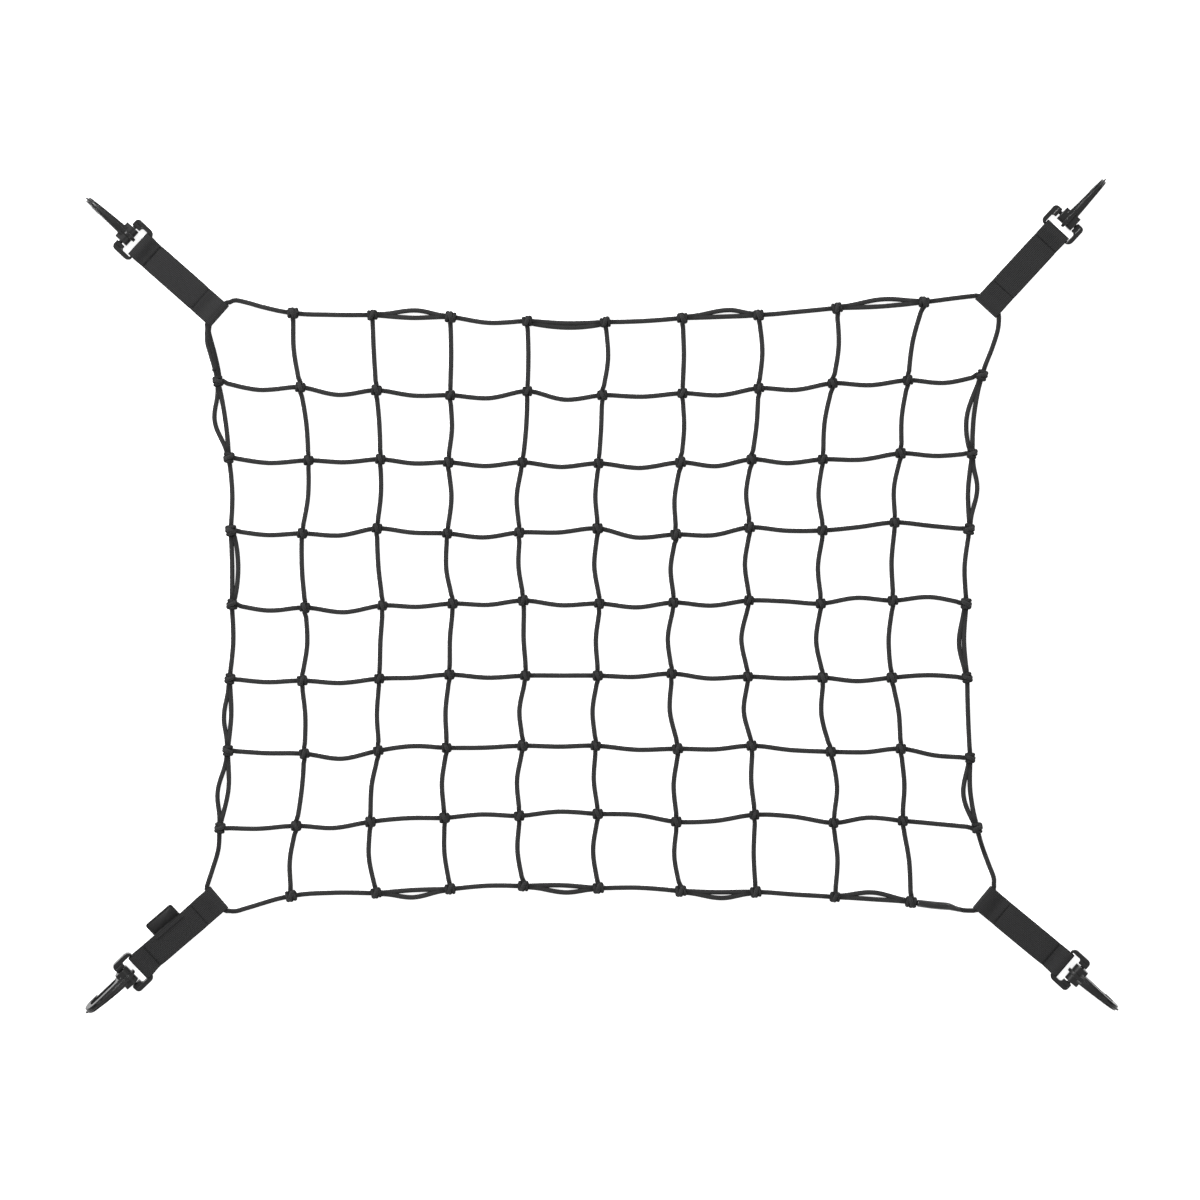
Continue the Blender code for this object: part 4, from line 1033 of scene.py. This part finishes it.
# Places across a strap, as shares of its half width, and how much of its thickness is left there.
ACROSS = [(-1.0, 0.42), (-0.985, 0.74), (-0.95, 0.96), (-0.86, 1.0), (-0.74, 1.0), (-0.70, 1.0),
          (-0.66, 1.0), (-0.36, 1.0), (-0.12, 1.0), (0.12, 1.0), (0.36, 1.0), (0.62, 1.0),
          (0.86, 1.0), (0.95, 0.96), (0.985, 0.74), (1.0, 0.42)]
INNER_STITCH = 24 * MM  # the sewn lines, from the strap's inner end and from its outer end
OUTER_STITCH = 17 * MM
STITCH_MARGIN = 0.9 * MM
STITCH_SPACE = 0.3 * MM
STITCH_RADIUS, STITCH_END_RADIUS = 0.38 * MM, 0.2 * MM
STRAP_STEP = 0.8 * MM
SEWN_SINK = 0.45 * MM
CREASE_AT = 4.3 * MM  # a crease across the top, from the strap's inner end
CREASE_SINK = 0.22 * MM
WAVE, WAVE_LENGTH = 0.12 * MM, 7 * MM
SEWN_NARROWS = 0.012  # the share of its width that the webbing loses in a sewn line
# Over the tab's tucked edge the webbing rises, and beside it it's sewn down.
TAB_SEAM = -0.68
TAB_RAISES, TAB_SEAM_SINK = 0.65 * MM, 0.35 * MM
TAB_STEP = 1.5 * MM


def build_strap(corner):
    matrix, length = strap_frame(corner)
    roll = math.radians(CORNERS[corner]["roll"])
    middle = [Vector((x, 0.0, z)) for x, z in strap_profile(length, STRAP_THICKNESS / 2)]
    closed = middle[-1:] + middle + middle[:2]
    stations = []
    for index in range(1, len(middle) + 1):
        parts = max(math.ceil((closed[index + 1] - closed[index]).length / STRAP_STEP), 2)
        stations += [curve_point(closed, index + part / parts) for part in range(parts)]
    count = len(stations)
    reach = [0.0]
    for index in range(count):
        reach.append(reach[-1] + (stations[(index + 1) % count] - stations[index]).length)
    phase = random.uniform(0, 6)
    shell = Shell()
    sheets = []
    for side in (1.0, -1.0):
        sheet = []
        for index, station in enumerate(stations):
            ahead = stations[(index + 1) % count] - stations[index - 1]
            normal = Vector((ahead.z, 0.0, -ahead.x)).normalized()
            line = []
            for share, thick in ACROSS:
                across = share * STRAP_WIDTH / 2
                point = station + normal * (side * STRAP_THICKNESS / 2 * thick)
                on_top = station.z > STRAP_LAYERS_TOP / 2
                stitch = min(abs(point.x - INNER_STITCH), abs(point.x - (length - OUTER_STITCH)))
                narrow = 1.0 - SEWN_NARROWS * bell(stitch, 2.5 * MM)
                z = point.z
                if on_top:
                    z += WAVE * math.sin(point.x / WAVE_LENGTH + 2.2 * share + phase)
                    if side > 0:
                        z -= SEWN_SINK * bell(stitch, 0.7 * MM)
                    z -= CREASE_SINK * bell(point.x - CREASE_AT, 0.8 * MM)
                if corner == "bl" and on_top and share < TAB_SEAM + 0.04:
                    near = smooth_step((point.x - TAB_FROM_END + TAB_STEP) / TAB_STEP)
                    past = smooth_step((TAB_FROM_END + TAB_LENGTH + TAB_STEP - point.x) / TAB_STEP)
                    rise = TAB_RAISES if share < TAB_SEAM else -TAB_SEAM_SINK
                    z += rise * near * past
                line.append(len(shell.points))
                place = twisted(point.x, across * narrow, z, length, roll)
                shell.points.append(matrix @ Vector(place))
            sheet.append(line)
        sheets.append(sheet)
    outer, inner = sheets
    for index in range(count):
        after = (index + 1) % count
        v, w = reach[index], reach[index + 1]
        for column in range(len(ACROSS) - 1):
            s = ACROSS[column][0] * STRAP_WIDTH / 2
            t = ACROSS[column + 1][0] * STRAP_WIDTH / 2
            for sheet in (outer, inner):
                shell.face(
                    (sheet[index][column], sheet[after][column],
                     sheet[after][column + 1], sheet[index][column + 1]),
                    [(s, v), (s, w), (t, w), (t, v)],
                )
        for column, s in ((0, -STRAP_WIDTH / 2), (-1, STRAP_WIDTH / 2)):
            shell.face(
                (outer[index][column], outer[after][column],
                 inner[after][column], inner[index][column]),
                [(s, v), (s, w), (s, w), (s, v)],
            )
    obj = shell.build(f"webbing_{corner}", WEBBING, "root", "weave")
    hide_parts(f"strap_{corner}")
    stitches = build_stitches(corner, matrix, length, roll)


def build_stitches(corner, matrix, length, roll):
    """Two sewn lines across the strap, each of short stitches in sunk rows, seen on both faces."""
    shell = Shell()
    lines = [(INNER_STITCH, 2.2 * MM), (length - OUTER_STITCH, 2.3 * MM)]
    half = STRAP_WIDTH / 2 - STITCH_MARGIN
    for at, stitch in lines:
        for height, rise in ((STRAP_LAYERS_TOP - 0.12 * MM, 1.0), (0.22 * MM, -1.0)):
            y = -half + random.uniform(0, 0.3) * MM
            while y + stitch < half:
                skew = random.uniform(-0.12, 0.12) * MM
                controls = []
                for share in (0.0, 0.12, 0.5, 0.88, 1.0):
                    across = y + share * stitch
                    arch = math.sin(math.pi * share) ** 0.6
                    z = max(height + rise * (0.24 * arch - 0.14) * MM, STITCH_END_RADIUS)
                    place = twisted(at + skew * (share - 0.5) * 2, across, z, length, roll)
                    point = matrix @ Vector(place)
                    at_end = share in (0.0, 1.0)
                    controls.append((point, STITCH_END_RADIUS if at_end else STITCH_RADIUS))
                shell.sweep(*sampled(controls, 1.0 * MM, 1), 6)
                y += stitch + STITCH_SPACE
    return shell.build(f"stitching_{corner}", THREAD, "root")


for strap_corner in CORNERS:
    build_strap(strap_corner)


TAB_TUCK = 2.2 * MM
TAB_SAG = 0.25 * MM


def build_tab():
    """The bare tab, its raised rim and the sunk face, tucked between the strap's two layers."""
    roll = math.radians(CORNERS["bl"]["roll"])
    rolled = Matrix.Translation((0.0, 0.0, edge_lift(roll))) @ Matrix.Rotation(roll, 4, "X")
    matrix = strap_frame("bl")[0] @ rolled
    edge = -(STRAP_WIDTH / 2 + GAP)

    def outline(inset, base):
        points = [(TAB_FROM_END + inset, base)]
        corner = max(TAB_CORNER - inset, 0.4 * MM)
        for centre_x, start in (
            (TAB_FROM_END + inset + corner, 180),
            (TAB_FROM_END + TAB_LENGTH - inset - corner, 270),
        ):
            for step in range(7):
                angle = math.radians(start + 15 * step)
                x = centre_x + corner * math.cos(angle)
                y = edge - TAB_WIDTH + inset + corner + corner * math.sin(angle)
                points.append((x, y))
        points.append((TAB_FROM_END + TAB_LENGTH - inset, base))
        return points

    low, high = TAB_HEIGHT, TAB_HEIGHT + TAB_THICKNESS
    base = edge + TAB_TUCK
    # Rings from the underside over the rim into its groove and up to the face: how far each is
    # inset, where it ends by the strap, and its height.
    levels = [
        (1.6 * MM, base, low + 0.06 * MM), (0.25 * MM, base, low), (0.0, base, low + 0.25 * MM),
        (0.0, base, high - 0.25 * MM), (0.22 * MM, base, high), (0.85 * MM, base, high),
        (1.0 * MM, edge - 0.3 * MM, high - 0.65 * MM),
        (1.65 * MM, edge - 1.0 * MM, high - 0.7 * MM),
        (1.85 * MM, edge - 1.2 * MM, high - 0.12 * MM),
    ]
    shell = Shell()
    rings = []
    for inset, back, z in levels:
        ring = []
        for x, y in outline(inset, back):
            sag = TAB_SAG * math.sin((x - TAB_FROM_END) / TAB_LENGTH * math.pi)
            ring.append(len(shell.points))
            shell.points.append(matrix @ Vector((x, y, z + sag * (edge - y) / TAB_WIDTH)))
        rings.append(ring)
    count = len(rings[0])
    blank = [(0.0, 0.0)] * 4
    for first, second in zip(rings, rings[1:]):
        for index in range(count):
            following = (index + 1) % count
            shell.face((first[index], first[following], second[following], second[index]), blank)
    for ring in (rings[0][::-1], rings[-1]):
        shell.face(ring, [(0.0, 0.0)] * count)
    obj = shell.build("tab_blank", LABEL, "root", "weave")
    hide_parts("label_tab")


build_tab()


# ---------------------------------------------------------------- hooks


def tapered(x, start, end, first_width, last_width):
    """Half the width at x of a part that tapers evenly from start to end."""
    share = min(max((x - start) / (end - start), 0.0), 1.0)
    return (first_width + (last_width - first_width) * share) / 2


def hook_half_width(x):
    return tapered(x, ROOT_X, TIP_X, ROOT_WIDTH, TIP_WIDTH)


def hook_placing(corner):
    """Where the hook and its base lie, worked out as in the part."""
    matrix, length = strap_frame(corner)
    roll = math.radians(CORNERS[corner]["roll"])
    slide = CORNERS[corner]["slide"]
    low_side = -math.copysign(1.0, roll)
    knuckle_drop = -(low_side * KNUCKLE_WIDTH / 2 + slide) * math.sin(roll)
    nose_drop = -(low_side * hook_half_width(NOSE_REST_X) + slide) * math.sin(roll)
    bar_height = KNUCKLE_RADIUS * math.cos(roll) + knuckle_drop
    nose_depth = (bar_height - nose_drop) / math.cos(roll)
    nose_swing = math.hypot(NOSE_BOTTOM, NOSE_REST_X)
    hook_tilt = math.acos(nose_depth / nose_swing) - math.atan2(NOSE_REST_X, -NOSE_BOTTOM)
    eye_height = EYE_TOP / 2 * math.cos(roll) + edge_lift(roll)
    rear_reach = (-BASE_REAR - REAR_BAR_LENGTH / 2) * math.cos(roll)
    base_tilt = math.asin((bar_height - eye_height) / rear_reach)
    bar_y = -EYE_TOP / 2 * math.sin(roll)
    bar_place = Vector((length + STRAP_END_TO_BAR, bar_y, bar_height))
    bar = matrix @ Matrix.Translation(bar_place) @ Matrix.Rotation(roll, 4, "X")
    base = bar @ Matrix.Rotation(-base_tilt, 4, "Y")
    hook = bar @ Matrix.Translation((0.0, slide, 0.0)) @ Matrix.Rotation(-hook_tilt, 4, "Y")
    return base, hook


def metres(outline):
    return [(x * MM, z * MM) for x, z in outline]


def solid(name, first, second):
    """A scratch object for the Booleans, between two outlines of as many points."""
    shape = bmesh.new()
    ends = [[shape.verts.new(point) for point in outline] for outline in (first, second)]
    for end in ends:
        shape.faces.new(end)
    near, far = ends
    for index in range(len(near)):
        following = (index + 1) % len(near)
        shape.faces.new((near[index], near[following], far[following], far[index]))
    bmesh.ops.recalc_face_normals(shape, faces=shape.faces)
    mesh = bpy.data.meshes.new(name)
    shape.to_mesh(mesh)
    shape.free()
    return linked(name, mesh)


def plan_solid(outline, low, high, name="plan"):
    return solid(name, [(x, y, low) for x, y in outline], [(x, y, high) for x, y in outline])


def side_solid(outline, half_width, name):
    return solid(name, *([(x, side * half_width(x), z) for x, z in outline] for side in (-1, 1)))


def arc(centre, radius, start, end, steps):
    points = []
    for step in range(steps + 1):
        angle = math.radians(start + (end - start) * step / steps)
        points.append((centre[0] + radius * math.cos(angle), centre[1] + radius * math.sin(angle)))
    return points


def barrel_solid(radius, width, segments=48):
    outline = arc((0.0, 0.0), radius, 0, 360 - 360 / segments, segments - 1)
    return side_solid(outline, lambda _: width / 2, "barrel")


def refined(points, parts=4):
    """More points on a smooth curve through an open outline in millimetres."""
    controls = [Vector((x, z, 0.0)) for x, z in metres(points)]
    return [(point.x, point.y) for point in smooth_points(controls, parts)]


def moulded(name, first, steps, voxel, passes, matrix, body, replaced):
    """Joins and cuts solids, then rounds every edge a little the way a moulding comes out."""
    for other, operation in steps:
        modifier = first.modifiers.new(other.name, "BOOLEAN")
        modifier.operation = operation
        modifier.object = other
        modifier.solver = "EXACT"
    remesh = first.modifiers.new("even", "REMESH")
    remesh.mode = "VOXEL"
    remesh.voxel_size = voxel
    smooth = first.modifiers.new("round", "SMOOTH")
    smooth.factor = 0.5
    smooth.iterations = passes
    bpy.context.view_layer.update()
    shown = first.evaluated_get(bpy.context.evaluated_depsgraph_get())
    mesh = bpy.data.meshes.new_from_object(shown)
    mesh.name = name
    mesh.transform(matrix)
    mesh.shade_smooth()
    mesh.materials.clear()
    mesh.materials.append(PLASTIC)
    for scratch in [first] + [other for other, operation in steps]:
        bpy.data.objects.remove(scratch, do_unlink=True)
    obj = linked(name, mesh)
    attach(obj, body)
    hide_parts(replaced)


# How far each base has turned in the soft eye, in degrees about the front bar's middle.
BASE_YAW = {"tl": -1.5, "tr": 0.0, "bl": 3.0, "br": -2.0}


MOULDED_VOXEL, GATE_VOXEL = 0.34 * MM, 0.3 * MM
GROOVE_DEPTH = 0.6 * MM
THROAT_CHAMFER, BASE_CHAMFER = 0.6 * MM, 0.5 * MM
CREASE_WIDTH, CREASE_DEPTH = 0.75 * MM, 0.7 * MM  # beside the hook's rib


def build_base(corner, matrix):
    outer = BASE_WIDTH / 2
    window = BASE_WINDOW / 2
    throat = BASE_THROAT / 2
    rear_centre = (BASE_REAR + REAR_CORNER, outer - REAR_CORNER)
    front_centre = (BASE_FRONT - FRONT_CORNER, outer - FRONT_CORNER)
    window_angle = math.degrees(math.asin((window - rear_centre[1]) / REAR_CORNER))
    arm = arc(front_centre, FRONT_CORNER, 0, 90, 12)
    arm += arc(rear_centre, REAR_CORNER, 90, 180 - window_angle, 9)
    arm += [(BASE_BOSS_REAR - BOSS_CHAMFER, window), (BASE_BOSS_REAR, window - BOSS_CHAMFER),
            (BASE_BOSS_REAR, throat + THROAT_CHAMFER), (BASE_BOSS_REAR + THROAT_CHAMFER, throat),
            (BASE_FRONT - BASE_CHAMFER, throat), (BASE_FRONT, throat + BASE_CHAMFER)]
    half = BASE_HEIGHT / 2
    other = [(x, -y) for x, y in arm]
    end = window + BAR_OVERLAP
    back = [(BASE_REAR + forward, window - inset) for forward, inset in BAR_BACK]
    bar = [(BASE_REAR + REAR_BAR_LENGTH, -end), (BASE_REAR + REAR_BAR_LENGTH, end), *back[::-1]]
    bar += [(x, -y) for x, y in back]
    parts = [
        plan_solid(arm, -half, half), plan_solid(other, -half, half),
        plan_solid(bar, -REAR_BAR_HEIGHT / 2, REAR_BAR_HEIGHT / 2),
        barrel_solid(FRONT_BAR_RADIUS, BASE_THROAT + 4 * BAR_OVERLAP, segments=32),
    ]
    steps = [(part, "UNION") for part in parts[1:]]
    for side in (-1, 1):
        for low, high in ((half - GROOVE_DEPTH, half + MM), (-half - MM, GROOVE_DEPTH - half)):
            near, far = side * (window - 0.5 * MM), side * (window + 0.4 * MM)
            rear, front = BASE_BOSS_REAR + 0.6 * MM, BASE_FRONT - 1.2 * MM
            outline = [(rear, near), (front, near), (front, far), (rear, far)]
            steps.append((plan_solid(outline, low, high, "groove"), "DIFFERENCE"))
    turned = matrix @ Matrix.Rotation(math.radians(BASE_YAW[corner]), 4, "Z")
    moulded(f"moulded_base_{corner}", parts[0], steps, MOULDED_VOXEL, 3, turned, "root",
            f"hook_base_{corner}")


def rib_half_width(x):
    return tapered(x, RIDGE_NARROWS_X, TIP_X, RIB_WIDTH, NUB_WIDTH)


def build_hook(corner, matrix):
    outer = metres(HOOK_ROOT) + refined(HOOK_SPINE + HOOK_TIP)
    inner = refined(HOOK_INNER)
    seat = arc(GATE_PIVOT, GATE_BARREL_RADIUS + GAP, *SEAT_ANGLES, 12)
    under = metres(HOOK_UNDERSIDE)
    body = side_solid(outer + inner + seat + under, hook_half_width, "blade")
    spine = [(x, z + RIDGE_HEIGHT) for x, z in refined(HOOK_SPINE[:-1])]
    below = [(x - RIDGE_BACK, z - RIDGE_HEIGHT) for x, z in refined(HOOK_SPINE[:-1])]
    start, end = RIB_ANGLES
    back = arc((0.0, 0.0), RIB_RADIUS, start, end, 24)
    inner_back = arc((0.0, 0.0), KNUCKLE_RADIUS - RIB_DEPTH, end, start, 12)
    rib = side_solid(back + spine + metres(NUB) + below[::-1] + inner_back, rib_half_width, "rib")
    knuckle = arc((0.0, 0.0), KNUCKLE_RADIUS, *KNUCKLE_ANGLES, 51) + metres(KNUCKLE_FRONT)
    floor = [(x - 0.35 * MM, z - CREASE_DEPTH) for x, z in refined(HOOK_SPINE[:-1])]
    over = arc((0.0, 0.0), RIB_RADIUS + MM, start, end, 24)
    under_rib = arc((0.0, 0.0), KNUCKLE_RADIUS - 0.65 * MM, end, start, 24)
    high = [(x, z + 3 * MM) for x, z in spine]
    crease = side_solid(over + high + [(51 * MM, 3 * MM)] + floor[::-1] + under_rib,
                        lambda x: rib_half_width(x) + CREASE_WIDTH, "crease")
    knuckle_part = side_solid(knuckle, lambda _: KNUCKLE_WIDTH / 2, "knuckle")
    bore = barrel_solid(FRONT_BAR_RADIUS + GAP, KNUCKLE_WIDTH + 2 * BORE_OVERHANG)
    steps = [(knuckle_part, "UNION"), (crease, "DIFFERENCE"), (rib, "UNION"),
             (bore, "DIFFERENCE")]
    moulded(f"moulded_hook_{corner}", body, steps, MOULDED_VOXEL, 2, matrix, f"hook_{corner}",
            f"hook_{corner}")


def build_gate(corner, matrix):
    reach = GATE_TIP[0] - GATE_PIVOT[0]
    rise = GATE_TIP[1] - GATE_PIVOT[1]
    root = GATE_ROOT_THICKNESS / 2
    tip = GATE_TIP_THICKNESS / 2
    tongue = [(0.0, -root), *arc((reach - tip, rise), tip, -90, 90, 8), (0.0, root)]

    def half_width(x):
        return tapered(x, 0.0, reach, GATE_ROOT_WIDTH, GATE_TIP_WIDTH)

    placing = matrix @ Matrix.Translation((GATE_PIVOT[0], 0.0, GATE_PIVOT[1]))
    barrel = barrel_solid(GATE_BARREL_RADIUS, GATE_ROOT_WIDTH, segments=32)
    moulded(f"moulded_gate_{corner}", side_solid(tongue, half_width, "tongue"), [(barrel, "UNION")],
            GATE_VOXEL, 2, placing, f"gate_{corner}", f"hook_gate_{corner}")


for hook_corner in CORNERS:
    base_matrix, hook_matrix = hook_placing(hook_corner)
    build_base(hook_corner, base_matrix)
    build_hook(hook_corner, hook_matrix)
    build_gate(hook_corner, hook_matrix)


# ---------------------------------------------------------------- floor and light


FLOOR_REACH = 6.0


def build_floor():
    mesh = bpy.data.meshes.new("floor")
    size = FLOOR_REACH
    corners = [(-size, -size, 0), (size, -size, 0), (size, size, 0), (-size, size, 0)]
    mesh.from_pydata(corners, [], [(0, 1, 2, 3)])
    made = bpy.data.materials.new("pale_floor")
    made.use_nodes = True
    shader = made.node_tree.nodes["Principled BSDF"]
    shader.inputs["Base Color"].default_value = (0.96, 0.96, 0.96, 1.0)
    shader.inputs["Roughness"].default_value = 0.9
    shader.inputs["Specular IOR Level"].default_value = 0.0
    shader.inputs["Emission Color"].default_value = (1.0, 1.0, 1.0, 1.0)
    shader.inputs["Emission Strength"].default_value = 0.8
    mesh.materials.append(made)
    linked("floor", mesh)


def add_light(name, place, size, power):
    data = bpy.data.lights.new(name, "AREA")
    data.shape = "DISK"
    data.size = size
    data.energy = power
    light = linked(name, data)
    light.location = place
    light.rotation_euler = (-Vector(place)).to_track_quat("-Z", "Y").to_euler()


build_floor()
add_light("key", (-1.5, 1.7, 2.6), 0.9, 110.0)
add_light("fill", (1.9, -1.2, 2.4), 2.2, 8.0)
add_light("glint_low", (-0.2, -2.4, 1.4), 0.5, 4.5)
add_light("glint_right", (1.6, 1.9, 1.5), 0.5, 7.0)
world = bpy.data.worlds.new("studio")
world.use_nodes = True
world.node_tree.nodes["Background"].inputs["Color"].default_value = (1.0, 1.0, 1.0, 1.0)
world.node_tree.nodes["Background"].inputs["Strength"].default_value = 0.42
bpy.context.scene.world = world
bpy.context.scene.view_settings.view_transform = "Standard"
